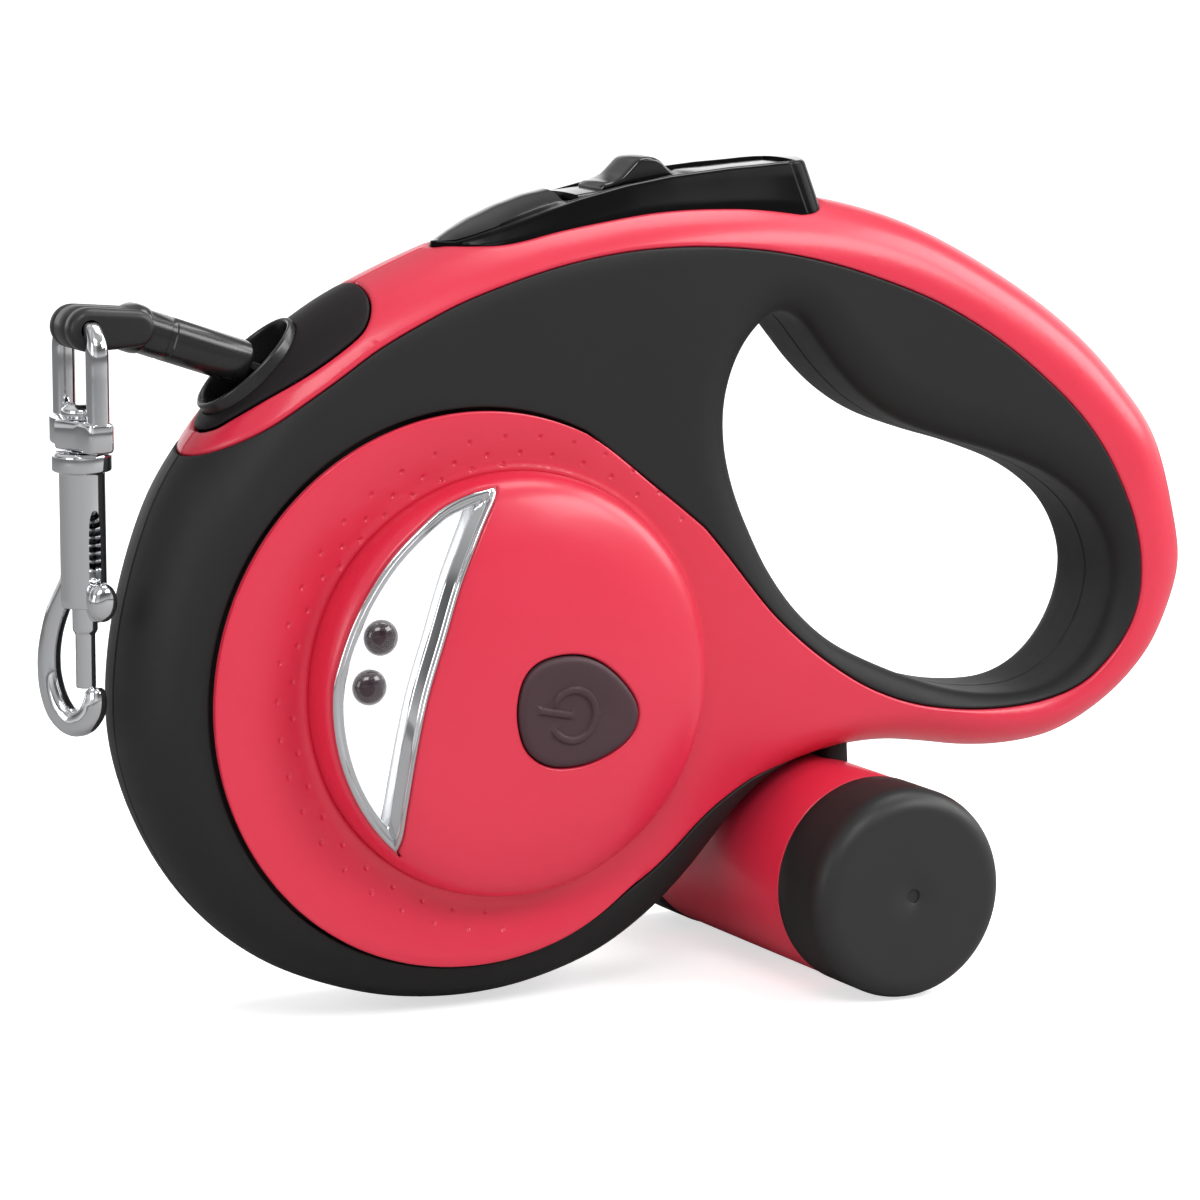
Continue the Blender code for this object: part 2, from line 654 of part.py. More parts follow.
EYE_SEAT = eye_oval(EYE_A + GAP, EYE_B + GAP, -9.4, 9.7)
MOUTH = join(prism(grow(INSERT_LOOP, GAP), -PAST_SIDE, PAST_SIDE), EYE_SEAT,
             rod(on_tape(-34), on_tape(24), 6.4, 20))
BEZEL_SEAT = prism(grow(ccw(BEZEL), GAP), -BEZEL_Y - GAP, BEZEL_Y + GAP)
CRADLE = y_rod(TUBE_C, -30, 30, TUBE_R + GAP, 40)


def screw_cuts(side):
    """Clearance holes and head recesses on the far side, pilot holes on the near side."""
    cuts = []
    for _, at, _ in SCREWS:
        if side == FAR:
            cuts.append(y_rod(at, -1, PAST_SIDE, 1.7, 12))
            cuts.append(y_rod(at, SCREW_HEAD_Y - 0.1, PAST_SIDE, 3.0, 16))
        else:
            cuts.append(y_rod(at, 1, -7.2, 1.6, 12))
    return cuts


def shell(side):
    trim_seat = cut(prism(grow(TRIM_LOOP, GAP), side * -2.0, side * PAST_SIDE),
                    pillow(TRIM_SEAT, side, over=4.0))
    body = cut(pillow(0.0, side), CRADLE, trim_seat, pillow(WALL, side, over=3.0))
    # posts for the screws, the axle and the pawl pin, rooted in the side wall
    for _, at, half in SCREWS:
        body = join(body, y_rod(at, side * 0.35, side * (half - WALL + 0.4), 3.1, 12))
    body = join(body, y_rod(REEL_C, side * 8.6, side * POST_END, 8.0, 24),
                y_rod(PIVOT, side * 9.2, side * POST_END, 3.4, 16))
    return cut(body, y_rod(REEL_C, side * 7, side * BORE_END, AXLE_BORE, 32),
               y_rod(PIVOT, side * 8, side * BORE_END, PIN_BORE, 16), MOUTH, BEZEL_SEAT,
               saddle_screw_bore(side * SADDLE_SCREW_Y, -13.6, 1.55), *screw_cuts(side))


def side_face(side):
    """The round face that stands a little proud of the casing, with a raised rim."""
    profile = [(0, 13.4), (48.9, 13.4), (49.2, 15.7), (48.4, 16.5), (47.0, 16.5), (44.0, 15.7),
               (39, 15.2), (0, 15.2)]
    return lathe(profile, (DISC_C[0], 0, DISC_C[1]), (0, side, 0), 56)


def trim(side):
    body = common(pillow(0.0, side), prism(TRIM_LOOP, side * -2.0, side * PAST_SIDE))
    body = cut(body, pillow(TRIM_T, side, over=4.0), MOUTH, BEZEL_SEAT, CRADLE,
               saddle_screw_bore(side * SADDLE_SCREW_Y, -13.6, 1.55))
    return join(body, side_face(side))


add("near_shell", shell(NEAR), "black_plastic", tidy=0.05)
add("far_shell", shell(FAR), "black_plastic", tidy=0.05)
add("near_trim", cut(trim(NEAR), y_rod(DOME_C, -30, -5, DOME_R + GAP, 64)), "red_plastic", tidy=0.4)
add("far_trim", trim(FAR), "red_plastic", tidy=0.4)

CASE_SCREW = [(0, -13.2), (1.4, -13.2), (1.4, 0), (2.7, 0), (2.7, 1.4), (2.0, 2.0), (0, 2.0)]
for name, (x, z), _ in SCREWS:
    add("case_screw_" + name, lathe(CASE_SCREW, (x, SCREW_HEAD_Y, z), ALONG_Y, 10), "steel")

insert = common(pillow(0.0), prism(INSERT_LOOP, -PAST_SIDE, PAST_SIDE))
add("outlet_insert", cut(insert, EYE_SEAT), "insert_black", tidy=0.05)
eyelet = cut(eye_oval(EYE_A, EYE_B, -4.2, 1.0), eye_oval(9.6, 6.6, -9, 9))
add("outlet_eyelet", eyelet, "gloss_black")


# ---------------------------------------------------------------- brake
def rim(x):
    """Height of the top edge of the bezel."""
    return float(np.interp(x, *zip(*BEZEL_TOP)))


def ramp(x):
    """Height of the sloping floor the lock slides on."""
    return 84.0 + 0.117 * (x - 28)


def brake_bezel():
    body = prism(ccw(BEZEL), -BEZEL_Y, BEZEL_Y)
    for v in body.vertices:  # the sides draw in towards the top
        t = min(max((v.co.z - 77.0) / (89.0 - 77.0), 0.0), 1.0)
        v.co.y *= 1 + (BEZEL_Y_TOP / BEZEL_Y - 1) * t
    well = block((25.8, -6.5, 78.2), (72.4, 6.5, 95))
    lower_front = block((20.0, -6.5, 78.2), (26.0, 6.5, 82.9))
    upper_front = prism([(25.9, 83.9), (19.0, 83.8), (19.0, 95), (25.9, 95)], -6.5, 6.5)
    stem_hole = block((24.6, -6.2, 70), (29.8, -1.8, 80))
    return cut(body, well, lower_front, upper_front, stem_hole)


def brake_button():
    outline = [(26.4, ramp(26.4)), (48.6, ramp(48.6)), (50.2, rim(50.2) - 0.9), (56, rim(56) - 0.9),
               (64, rim(64) - 0.9), (71.6, rim(71.6) - 0.7), (71.6, rim(71.6) - 3.2),
               (64, rim(64) - 3.4), (50, 83.6), (26.4, 81.6)]
    stem = block((26.6, -5.4, 48.1), (28.8, -2.6, 83.0))
    return join(prism(ccw(outline), -6.1, 6.1), stem)


def lock_slider():
    outline = [(30.6, ramp(30.6) + 0.35), (47.6, ramp(47.6) + 0.35), (47.6, ramp(47.6) + 1.3),
               (45.6, 88.0), (43.9, 89.6), (42.2, 90.1), (40.4, 89.7), (38.6, 87.8), (36.5, 86.3),
               (34.0, ramp(34) + 1.4), (30.6, ramp(30.6) + 1.35)]
    return prism(ccw(outline), -4.6, 4.6)


def brake_pawl():
    arm = prism(ccw(PAWL), -8.6, -5.6)
    boss = prism(circle(PIVOT, 3.0, 16), -8.6, -5.6)
    nose = prism(ccw(PAWL_NOSE), -6.2, -2.0)
    return cut(join(arm, boss, nose), y_rod(PIVOT, -12, 0, PIN_BORE, 16))


add("brake_bezel", brake_bezel(), "gloss_black")
add("brake_button", brake_button(), "gloss_black", BRAKE_JOINT)
add("lock_slider", lock_slider(), "gloss_black", LOCK_JOINT)
add("brake_pawl", brake_pawl(), "reel_plastic", PAWL_JOINT)
add("pawl_pin", y_rod(PIVOT, -PIN_END, PIN_END, PIN_R, 16), "steel")
add("button_spring",
    helix((60, 0, 78.4), (60, 0, 84.4), radius=2.4, turns=4, wire=0.35, per=8, sides=5),
    "steel", origin=(60, 0, 78.4))


# ---------------------------------------------------------------- reel
def reel_drum():
    """Hub and two flanges, with the ratchet ring on the near flange."""
    drum = lathe([(AXLE_BORE, -REEL_W), (NEAR_FLANGE_R, -REEL_W), (NEAR_FLANGE_R, -REEL_IN),
                  (HUB_R, -REEL_IN), (HUB_R, REEL_IN), (FLANGE_R, REEL_IN), (FLANGE_R, REEL_W),
                  (HUB_BORE, REEL_W), (HUB_BORE, -REEL_IN), (6.4, -REEL_IN), (6.4, -3.6),
                  (AXLE_BORE, -3.6)], (0, 0, 0), ALONG_Y, 40)
    # one tooth: (share of the pitch, radius)
    tooth = ((0.0, TOOTH_ROOT), (0.62, TOOTH_ROOT), (0.70, TOOTH_TIP), (0.80, TOOTH_TIP))
    pitch = 2 * math.pi / TEETH
    outline = []
    for i in range(TEETH):
        for share, r in tooth:
            a = pitch * (i + share)
            outline.append((r * math.cos(a), r * math.sin(a)))
    return join(drum, prism(ccw(outline), -REEL_W, -REEL_IN, [circle(REEL_C, 40.0, 24)]))


def power_spring():
    """Flat spiral spring inside the hub."""
    turns, per = 5, 12
    path = []
    for i in range(turns * per + 1):
        r = 6.0 + 14.2 * i / (turns * per)
        a = 2 * math.pi * i / per
        path.append((r * math.cos(a), 1.2, r * math.sin(a)))
    return sweep(path, [(-0.35, -4.4), (0.35, -4.4), (0.35, 4.4), (-0.35, 4.4)], ALONG_Y)


COIL = [(HUB_R + 0.1, -TAPE_W), (COIL_R, -TAPE_W), (COIL_R, TAPE_W), (HUB_R + 0.1, TAPE_W)]
AXLE = [(0, -PIN_END), (AXLE_R, -PIN_END), (AXLE_R, PIN_END), (0, PIN_END)]
add("reel_axle", lathe(AXLE, (0, 0, 0), ALONG_Y, 32), "steel")
add("reel_drum", reel_drum(), "reel_plastic", REEL_JOINT, tidy=0.05)
add("spring_cover", pipe(REEL_C, 6.3, 7.6, 20.7, 5.0, 28), "reel_plastic", REEL_JOINT)
add("tape_coil", lathe(COIL, (0, 0, 0), ALONG_Y, 36), "tape_nylon", REEL_JOINT)
add("power_spring", power_spring(), "steel")


# ---------------------------------------------------------------- tape, sleeve, hook
def tape_run():
    """Straight tape from just past the point nearest the reel axis to the sleeve."""
    nearest = -np.dot(OUTLET, PULL)
    return slab(on_tape, nearest + 1.0, 4.2, TAPE_W - 0.2, TAPE_T / 2)


def tape_sleeve():
    """Bar with a rounded rectangular section."""
    half_w, half_t, r, per = 5.3, 3.9, 3.2, 5
    section = []
    for x, y, first in ((half_w - r, half_t - r, 0), (-half_w + r, half_t - r, 90),
                        (-half_w + r, -half_t + r, 180), (half_w - r, -half_t + r, 270)):
        for i in range(per):
            a = math.radians(first + 90 * i / (per - 1))
            section.append((x + r * math.cos(a), y + r * math.sin(a)))
    return loft(*([on_tape(t, x, y) for x, y in section] for t in (SLEEVE_START, SLEEVE_END)))


def tape_loop():
    """Teardrop of tape from the end of the sleeve round the bail bar."""
    end = np.array(on_tape(SLEEVE_END + 0.3))[[0, 2]]
    up = np.array((PULL[2], -PULL[0]))
    bend = [(BAR[0] + 3.6 * math.cos(a), BAR[1] + 3.6 * math.sin(a))
            for a in np.linspace(math.radians(75), math.radians(290), 15)]
    outline = [tuple(end + up * 2.4)] + bend + [tuple(end - up * 2.4)]
    return prism(ccw(outline), HOOK_Y - 5.4, HOOK_Y + 5.4, [circle(BAR, 2.1, 20)])


def hook_rod(y, z0, z1, radius, sides):
    return rod((HOOK_X, y, z0), (HOOK_X, y, z1), radius, sides)


def swivel_bail():
    # half of the wire: (distance in from the leg, z)
    half = [(0, 46.0), (0, 61.2), (0.5, 63.2), (1.7, 64.3), (3.2, BAR[1])]
    path = [(HOOK_X, HOOK_Y + BAIL_LEG - d, z) for d, z in half]
    path += [(HOOK_X, HOOK_Y - BAIL_LEG + d, z) for d, z in reversed(half)]
    body = join(sweep(path, round_section(1.75, 10), (1, 0, 0)),
                block((HOOK_X - 2.4, HOOK_Y - 9.6, 44.3), (HOOK_X + 2.4, HOOK_Y + 9.6, 49.4)),
                hook_rod(HOOK_Y, 44.3, 49.4, 5.0, 20))
    return cut(body, hook_rod(HOOK_Y, 40, 52, 1.79, 24))


def hook_body():
    """Barrel with its swivel stem, flange, slot and hook in one casting."""
    barrel = lathe([(0, 17.0), (3.9, 17.0), (3.9, 40.2), (5.1, 40.6), (5.1, 43.3), (4.6, 43.9),
                    (1.7, 43.9), (1.7, 49.9), (3.4, 49.9), (3.0, 51.4), (0, 51.8)],
                   (HOOK_X, HOOK_Y, 0), (0, 0, 1), 20)
    # centre line of the hook: (y from the hook axis, z)
    line = [(2.2, 19.0), (4.2, 16.0), (7.0, 11.5), (8.6, 6.4), (8.4, 1.2), (6.0, -2.6), (2.4, -3.9),
            (-1.0, -2.6), (-2.0, 0.6), (-1.9, 3.0)]
    path = catmull([(HOOK_X, HOOK_Y + y, z) for y, z in line], False, 2)
    hook = sweep([tuple(p) for p in path], round_section(2.1, 10), (1, 0, 0))
    slot = block((HOOK_X - 1.1, HOOK_Y - 8, 12), (HOOK_X + 1.1, HOOK_Y, 33.5))
    return cut(join(barrel, hook), hook_rod(BOLT_Y, 10, 37, 2.3, 16), slot)


def hook_bolt():
    thumb = block((HOOK_X - 0.8, HOOK_Y - 5.2, 15.0), (HOOK_X + 0.8, HOOK_Y - 0.6, 22.6))
    knob = rod((HOOK_X, HOOK_Y - 4.6, 18.8), (HOOK_X, HOOK_Y - 7.6, 18.8), 2.7, 14, 2.1)
    return join(hook_rod(BOLT_Y, 3.4, 24.0, 1.7, 16), thumb, knob)


SPRING_TOP = (HOOK_X, BOLT_Y, 36.8)
add("tape_run", tape_run(), "tape_nylon", LEASH_JOINT)
add("tape_sleeve", tape_sleeve(), "black_plastic", LEASH_JOINT)
add("tape_loop", tape_loop(), "tape_nylon", LEASH_JOINT)
add("swivel_bail", swivel_bail(), "chrome", BAIL_JOINT)
add("hook_body", hook_body(), "chrome", HOOK_JOINT)
add("hook_bolt", hook_bolt(), "chrome", BOLT_JOINT)
add("bolt_spring",
    helix((HOOK_X, BOLT_Y, 24.2), SPRING_TOP, radius=1.6, turns=6, wire=0.3, per=7, sides=5),
    "steel", HOOK_JOINT, origin=SPRING_TOP)


# ---------------------------------------------------------------- torch
def dome_lathe(profile):
    """Profile of (radius, distance towards -Y) turned about the torch axis."""
    return lathe(profile, (DOME_C[0], 0, DOME_C[1]), AGAINST_Y, 48)


def torch_dome():
    body = dome_lathe([(DOME_R, 13.0), (DOME_R, 17.4), (36.6, 20.6), (34.4, 23.2), (31.0, 24.8),
                       (25, 25.7), (12, 26.3), (0, DOME_TOP), (0, 24.4), (25, 23.7), (32.4, 21.8),
                       (35.2, 18.0), (35.4, 13.0)])
    return cut(body, prism(grow(CRESCENT_LOOP, 0.25), -40, -5), prism(grow(POWER_LOOP, 0.3), -40, -5))


def torch_bezel():
    """Frame round the window, a little proud of the dome."""
    frame = prism(CRESCENT_LOOP, -40, -18.5, [shrink(CRESCENT_LOOP, 1.5)])
    limit = dome_lathe([(DOME_R, 11.0), (DOME_R, 18.4), (36.9, 21.4), (34.9, 24.0), (31.4, 25.6),
                        (25, 26.5), (12, 27.1), (0, 27.2), (0, 11.0)])
    return common(frame, limit)


def torch_lens():
    outside = dome_lathe([(DOME_R - 1.0, 12.0), (DOME_R - 1.0, 18.2), (35.6, 21.0), (33.6, 23.0),
                          (30.4, 24.4), (24, 25.2), (0, 25.8), (0, 12.0)])
    hollow = dome_lathe([(DOME_R - 2.4, 5.0), (DOME_R - 2.4, 17.8), (34.2, 19.8), (32.4, 21.6),
                         (29.6, 22.9), (24, 23.7), (0, 24.3), (0, 5.0)])
    return cut(common(prism(shrink(CRESCENT_LOOP, 1.8), -40, -15.0), outside), hollow)


def torch_reflector():
    plate = common(prism(shrink(CRESCENT_LOOP, 3.3), -19.25, -18.7),
                   dome_lathe([(34.4, 12), (34.4, 40), (0, 40), (0, 12)]))
    return cut(plate, *[y_rod(at, -30, -10, 2.9, 16) for _, at in LEDS])


LEDS = (("led_upper", (-18.2, 11.0)), ("led_lower", (-20.4, 2.6)))
LED = [(0, 18.3), (2.6, 18.3), (2.6, 20.2), (1.8, 21.2), (0, 21.6)]
CELLS = (("coin_cell_front", (-4.0, -2.0)), ("coin_cell_rear", (20.6, -2.0)))
CELL = [(0, 13.9), (9.6, 13.9), (10, 14.3), (10, 16.7), (9.6, 17.1), (0, 17.1)]
add("torch_dome", torch_dome(), "red_plastic", tidy=0.4)
add("torch_bezel", torch_bezel(), "chrome")
add("torch_lens", torch_lens(), "clear_lens")
add("torch_reflector", torch_reflector(), "reflector")
for name, (x, z) in LEDS:
    add(name, lathe(LED, (x, 0, z), AGAINST_Y, 16), "led_dark")
add("torch_board", prism(circle(DOME_C, 33.6, 32), -18.2, -17.2), "board_green")
add("micro_switch", block((13, -21.6, -7), (19, -18.3, -1)), "black_plastic")
add("power_button", prism(POWER_LOOP, -27.2, -22.9), "button_rubber", POWER_JOINT)
for name, (x, z) in CELLS:
    add(name, lathe(CELL, (x, 0, z), AGAINST_Y, 28), "steel")
add("battery_clip", block((-2, -13.7, -4.5), (18.6, -13.3, 0.5)), "steel")


# ---------------------------------------------------------------- bag dispenser
def at_slot(radius, across, y):
    """Point by its distance from the tube axis towards the slot, and its offset across that."""
    c, s = math.cos(SLOT_ANGLE), math.sin(SLOT_ANGLE)
    return (TUBE_C[0] + c * radius - s * across, y, TUBE_C[1] + s * radius + c * across)


def dispenser_tube():
    body = lathe([(TUBE_RI, -TUBE_HALF), (TUBE_R, -TUBE_HALF), (TUBE_R, TUBE_HALF),
                  (TUBE_RI, TUBE_HALF)], TUBE_AT, ALONG_Y, 48)
    return cut(body, slab(at_slot, 14.0, 23.0, 1.8, 18), *saddle_bores(-15))


def saddle_bores(top):
    return [saddle_screw_bore(y, top, 1.6) for y in (SADDLE_SCREW_Y, -SADDLE_SCREW_Y)][::-1] \
        if False else [saddle_screw_bore(y, top, 1.6) for y in (-SADDLE_SCREW_Y, SADDLE_SCREW_Y)]


def dispenser_cap(axis):
    return lathe([(0, 41.6), (1.4, 41.6), (1.7, CAP_FACE), (14.9, CAP_FACE), (17.6, 41.1),
                  (CAP_R - 0.1, 39.2), (CAP_R, 37.4), (CAP_R, TUBE_HALF + GAP),
                  (17.0, TUBE_HALF + GAP), (17.0, 21.0), (15.6, 21.0), (15.6, 40.0), (0, 40.2)],
                 TUBE_AT, axis, 44)


def dispenser_saddle():
    """Block between the tail of the casing and the tube."""
    return cut(block((73.5, -9.0, -24.0), (85.6, 9.0, -14.0)),
               y_rod(TUBE_C, -30, 30, TUBE_R + 0.25, 48), pillow(-0.3), *saddle_bores(-10))


SADDLE_SCREW = [(0, -25.5), (2.6, -25.5), (2.6, -24.1), (1.3, -24.1), (1.3, -14.6), (0, -14.2)]
add("dispenser_tube", dispenser_tube(), "red_plastic")
add("near_cap", dispenser_cap(AGAINST_Y), "black_plastic", CAP_JOINT)
add("far_cap", dispenser_cap(ALONG_Y), "black_plastic")
add("bag_core", pipe(TUBE_C, -20.3, 20.3, 6.4, 5.4, 24), "card_core", ROLL_JOINT)
add("bag_roll", pipe(TUBE_C, -20, 20, 13.2, 6.6, 32), "bag_film", ROLL_JOINT)
add("bag_tail", slab(at_slot, 13.7, 21.4, 0.3, 15), "bag_film")
add("dispenser_saddle", dispenser_saddle(), "black_plastic", tidy=0.4)
for name, side in (("near", NEAR), ("far", FAR)):
    screw = lathe(SADDLE_SCREW, (SADDLE_SCREW_X, side * SADDLE_SCREW_Y, 0), (0, 0, 1), 12)
    add("dispenser_screw_" + name, screw, "steel")
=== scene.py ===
# Looks for a retractable leash with a torch, a brake, a bag dispenser and a bolt hook,
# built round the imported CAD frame.
#
# The design is in millimetres from the reel axis: x runs towards the tail behind the hand
# opening, y across the thickness, z up. The near side, with the torch, is at -y and the
# far side at +y. The hook hangs at -x. "Plan" points are (x, z) pairs in the side view.
import json
import math

import bmesh
import bpy
import numpy as np
from mathutils import Matrix, Vector
from mathutils.geometry import delaunay_2d_cdt

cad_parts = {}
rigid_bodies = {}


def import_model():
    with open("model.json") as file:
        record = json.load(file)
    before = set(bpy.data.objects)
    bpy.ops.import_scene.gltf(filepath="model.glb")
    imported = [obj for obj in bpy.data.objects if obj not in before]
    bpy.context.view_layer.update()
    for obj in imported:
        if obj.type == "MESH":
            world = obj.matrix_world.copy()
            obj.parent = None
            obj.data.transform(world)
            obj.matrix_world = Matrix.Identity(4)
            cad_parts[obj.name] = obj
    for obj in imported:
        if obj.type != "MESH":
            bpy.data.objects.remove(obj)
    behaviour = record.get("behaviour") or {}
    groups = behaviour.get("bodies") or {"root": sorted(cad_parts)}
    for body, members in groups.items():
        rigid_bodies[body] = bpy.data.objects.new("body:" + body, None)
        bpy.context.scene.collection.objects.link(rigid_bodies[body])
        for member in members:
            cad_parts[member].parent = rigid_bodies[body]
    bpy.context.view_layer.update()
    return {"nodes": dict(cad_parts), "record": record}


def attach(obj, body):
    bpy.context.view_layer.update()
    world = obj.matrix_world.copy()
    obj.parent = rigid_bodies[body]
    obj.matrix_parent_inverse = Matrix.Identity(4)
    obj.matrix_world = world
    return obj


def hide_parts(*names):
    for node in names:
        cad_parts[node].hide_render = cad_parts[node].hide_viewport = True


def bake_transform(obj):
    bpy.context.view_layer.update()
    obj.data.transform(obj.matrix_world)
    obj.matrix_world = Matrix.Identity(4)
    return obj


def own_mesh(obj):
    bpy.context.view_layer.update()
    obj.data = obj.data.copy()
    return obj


for old in list(bpy.data.objects):
    bpy.data.objects.remove(old, do_unlink=True)

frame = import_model()

MM = 0.001
REEL_AXIS = np.array((-42.35, 0.0, 58.30))   # reel axis in the frame, mm


def world(points):
    """Design millimetres to scene metres."""
    return (np.asarray(points, float) + REEL_AXIS) * MM


# ---------------------------------------------------------------- shader helpers
def fill(tree, node, sockets):
    """Links each named input to a given output, or sets it to a given value."""
    for socket, value in sockets.items():
        if isinstance(value, bpy.types.NodeSocket):
            tree.links.new(value, node.inputs[socket])
        else:
            node.inputs[socket].default_value = value


def add_node(tree, kind, sockets={}, **settings):
    node = tree.nodes.new("ShaderNode" + kind)
    for key, value in settings.items():
        setattr(node, key, value)
    fill(tree, node, sockets)
    return node


def new_material(name):
    mat = bpy.data.materials.new(name)
    mat.use_nodes = True
    return mat, mat.node_tree, mat.node_tree.nodes["Principled BSDF"]


def linear(colour):
    """sRGB bytes to linear RGBA."""
    parts = [c / 255.0 for c in colour]
    return (*(c / 12.92 if c <= 0.04045 else ((c + 0.055) / 1.055) ** 2.4 for c in parts), 1.0)


def object_coords(tree):
    coords = add_node(tree, "TexCoord")
    return add_node(tree, "Mapping", {"Vector": coords.outputs["Object"]}).outputs["Vector"]


def noise(tree, vector, scale, detail=3.0):
    sockets = {"Scale": scale, "Detail": detail, "Vector": vector}
    return add_node(tree, "TexNoise", sockets).outputs["Fac"]


def remap(tree, value, low, high):
    sockets = {"To Min": low, "To Max": high, "Value": value}
    return add_node(tree, "MapRange", sockets).outputs["Result"]


def mix_colour(tree, factor, first, second):
    sockets = {"A": linear(first), "B": linear(second), "Factor": factor}
    return add_node(tree, "Mix", sockets, data_type="RGBA").outputs["Result"]


def bump(tree, height, strength, distance):
    sockets = {"Strength": strength, "Distance": distance, "Height": height}
    return add_node(tree, "Bump", sockets).outputs["Normal"]


def facing(tree, normal, axis):
    """One component of the surface normal."""
    geometry = add_node(tree, "NewGeometry")
    return add_node(tree, "SeparateXYZ", {0: geometry.outputs[normal]}).outputs[axis]


# ---------------------------------------------------------------- materials
# rough is the low and high roughness, depth the bump distance in metres
def plastic(name, colour, mottle, rough, grain=2200.0, depth=0.00002, coat=0.0, spec=0.5):
    """Two close colours in a soft mottle, with a fine grain."""
    mat, tree, shader = new_material(name)
    place = object_coords(tree)
    fill(tree, shader, {
        "Base Color": mix_colour(tree, noise(tree, place, scale=60.0, detail=4.0), colour, mottle),
        "Roughness": remap(tree, noise(tree, place, scale=420.0), *rough),
        "Normal": bump(tree, noise(tree, place, grain, detail=2.0), 0.25, depth),
        "Coat Weight": coat,
        "Coat Roughness": 0.12,
        "IOR": 1.5,
        "Specular IOR Level": spec})
    return mat


def metal(name, colour, rough):
    mat, tree, shader = new_material(name)
    place = object_coords(tree)
    fill(tree, shader, {
        "Base Color": linear(colour),
        "Metallic": 1.0,
        "Roughness": remap(tree, noise(tree, place, scale=240.0, detail=4.0), *rough),
        "Normal": bump(tree, noise(tree, place, scale=900.0), strength=0.3, distance=0.000008)})
    return mat


def woven(name, dark, light):
    """Two crossed wave patterns multiplied into a weave."""
    mat, tree, shader = new_material(name)
    place = object_coords(tree)
    waves = [add_node(tree, "TexWave", {"Scale": scale, "Distortion": 0.6, "Vector": place},
                      bands_direction=bands).outputs["Fac"]
             for scale, bands in ((520.0, "Y"), (420.0, "DIAGONAL"))]
    weave = add_node(tree, "Math", dict(enumerate(waves)), operation="MULTIPLY").outputs[0]
    fill(tree, shader, {
        "Base Color": mix_colour(tree, weave, dark, light),
        "Roughness": 0.8,
        "Sheen Weight": 0.3,
        "Normal": bump(tree, weave, strength=0.6, distance=0.00012)})
    return mat


def glass(name):
    mat, tree, shader = new_material(name)
    place = object_coords(tree)
    fill(tree, shader, {
        "Base Color": linear((250, 252, 253)),
        "Alpha": 0.03,
        "IOR": 1.3,
        "Roughness": remap(tree, noise(tree, place, scale=300.0), low=0.02, high=0.05),
        "Normal": bump(tree, noise(tree, place, scale=500.0, detail=2.0), 0.15, 0.00001)})
    return mat


def painted_shade_on_sides(mat, face, side):
    """Painted shade on the sides: specular level by how squarely the surface faces along y, so
    surfaces turned away from y reflect little and stay dark.
    """
    tree, shader = mat.node_tree, mat.node_tree.nodes["Principled BSDF"]
    along_y = facing(tree, "True Normal", 1)
    square = add_node(tree, "Math", {0: along_y}, operation="ABSOLUTE").outputs[0]
    fill(tree, shader, {"Specular IOR Level": remap(tree, square, side, face)})


def painted_shade_on_walls(mat, spec, coat):
    """Full shine where the surface looks up, fading to little on the walls: painted shade that
    keeps the walls dark.
    """
    tree, shader = mat.node_tree, mat.node_tree.nodes["Principled BSDF"]
    upward = facing(tree, "Normal", 2)
    for socket, low, high in (("Specular IOR Level", 0.04, spec), ("Coat Weight", 0.0, coat)):
        sockets = {"From Min": 0.5, "From Max": 0.97, "To Min": low, "To Max": high,
                   "Value": upward}
        fade = add_node(tree, "MapRange", sockets, interpolation_type="SMOOTHSTEP")
        fill(tree, shader, {socket: fade.outputs["Result"]})


RED = plastic("red_shell_plastic", (211, 43, 69), (205, 37, 62), rough=(0.30, 0.36),
              grain=1800.0, depth=0.000012, coat=0.12)
BLACK = plastic("matte_black_plastic", (32, 32, 32), (29, 29, 29), rough=(0.5, 0.6),
                grain=1500.0, depth=0.00003, spec=0.3)
GLOSS = plastic("polished_black_plastic", (15, 15, 16), (19, 19, 20), rough=(0.13, 0.18),
                grain=900.0, depth=0.00001, coat=0.25)
# A dimmer copy of the polished black with almost no reflection, for walls in painted shade.
GLOSS_SHADED_SIDE = plastic("polished_black_shaded_side", (13, 13, 14), (17, 17, 18), rough=(0.26, 0.32),
                     grain=900.0, depth=0.00001, spec=0.04)
INSERT_BLACK = plastic("insert_black_plastic", (28, 24, 26), (25, 21, 23), rough=(0.5, 0.6),
                       grain=1500.0, spec=0.16)
RUBBER = plastic("button_rubber", (68, 44, 50), (61, 40, 45), rough=(0.5, 0.6),
                 grain=1200.0, depth=0.00003, spec=0.4)
CAP_BLACK = plastic("cap_black_plastic", (37, 37, 37), (41, 41, 41), rough=(0.38, 0.46),
                    grain=1300.0, depth=0.00003, spec=0.36)
# Painted shade: the cap's rims reflect little and stay dark, while its end faces keep their shine.
painted_shade_on_sides(CAP_BLACK, face=0.42, side=0.06)
BEZEL_BLACK = plastic("polished_black_bezel", (13, 13, 14), (17, 17, 18), rough=(0.15, 0.2),
                      grain=900.0, depth=0.00001, coat=0.25)
# Painted shade: the bezel's walls lose their shine and stay dark, while its top keeps it.
painted_shade_on_walls(BEZEL_BLACK, spec=0.5, coat=0.25)
GREY = plastic("reel_grey_plastic", (150, 150, 152), (140, 140, 143), rough=(0.4, 0.5))
CHROME = metal("bright_chrome", (225, 226, 228), rough=(0.05, 0.11))
STEEL = metal("plain_steel", (185, 185, 188), rough=(0.22, 0.34))
GLOWING_REFLECTOR = plastic("white_reflector_painted_glow", (250, 250, 250), (245, 245, 246), rough=(0.2, 0.28),
                 grain=900.0, depth=0.000005, coat=0.3)
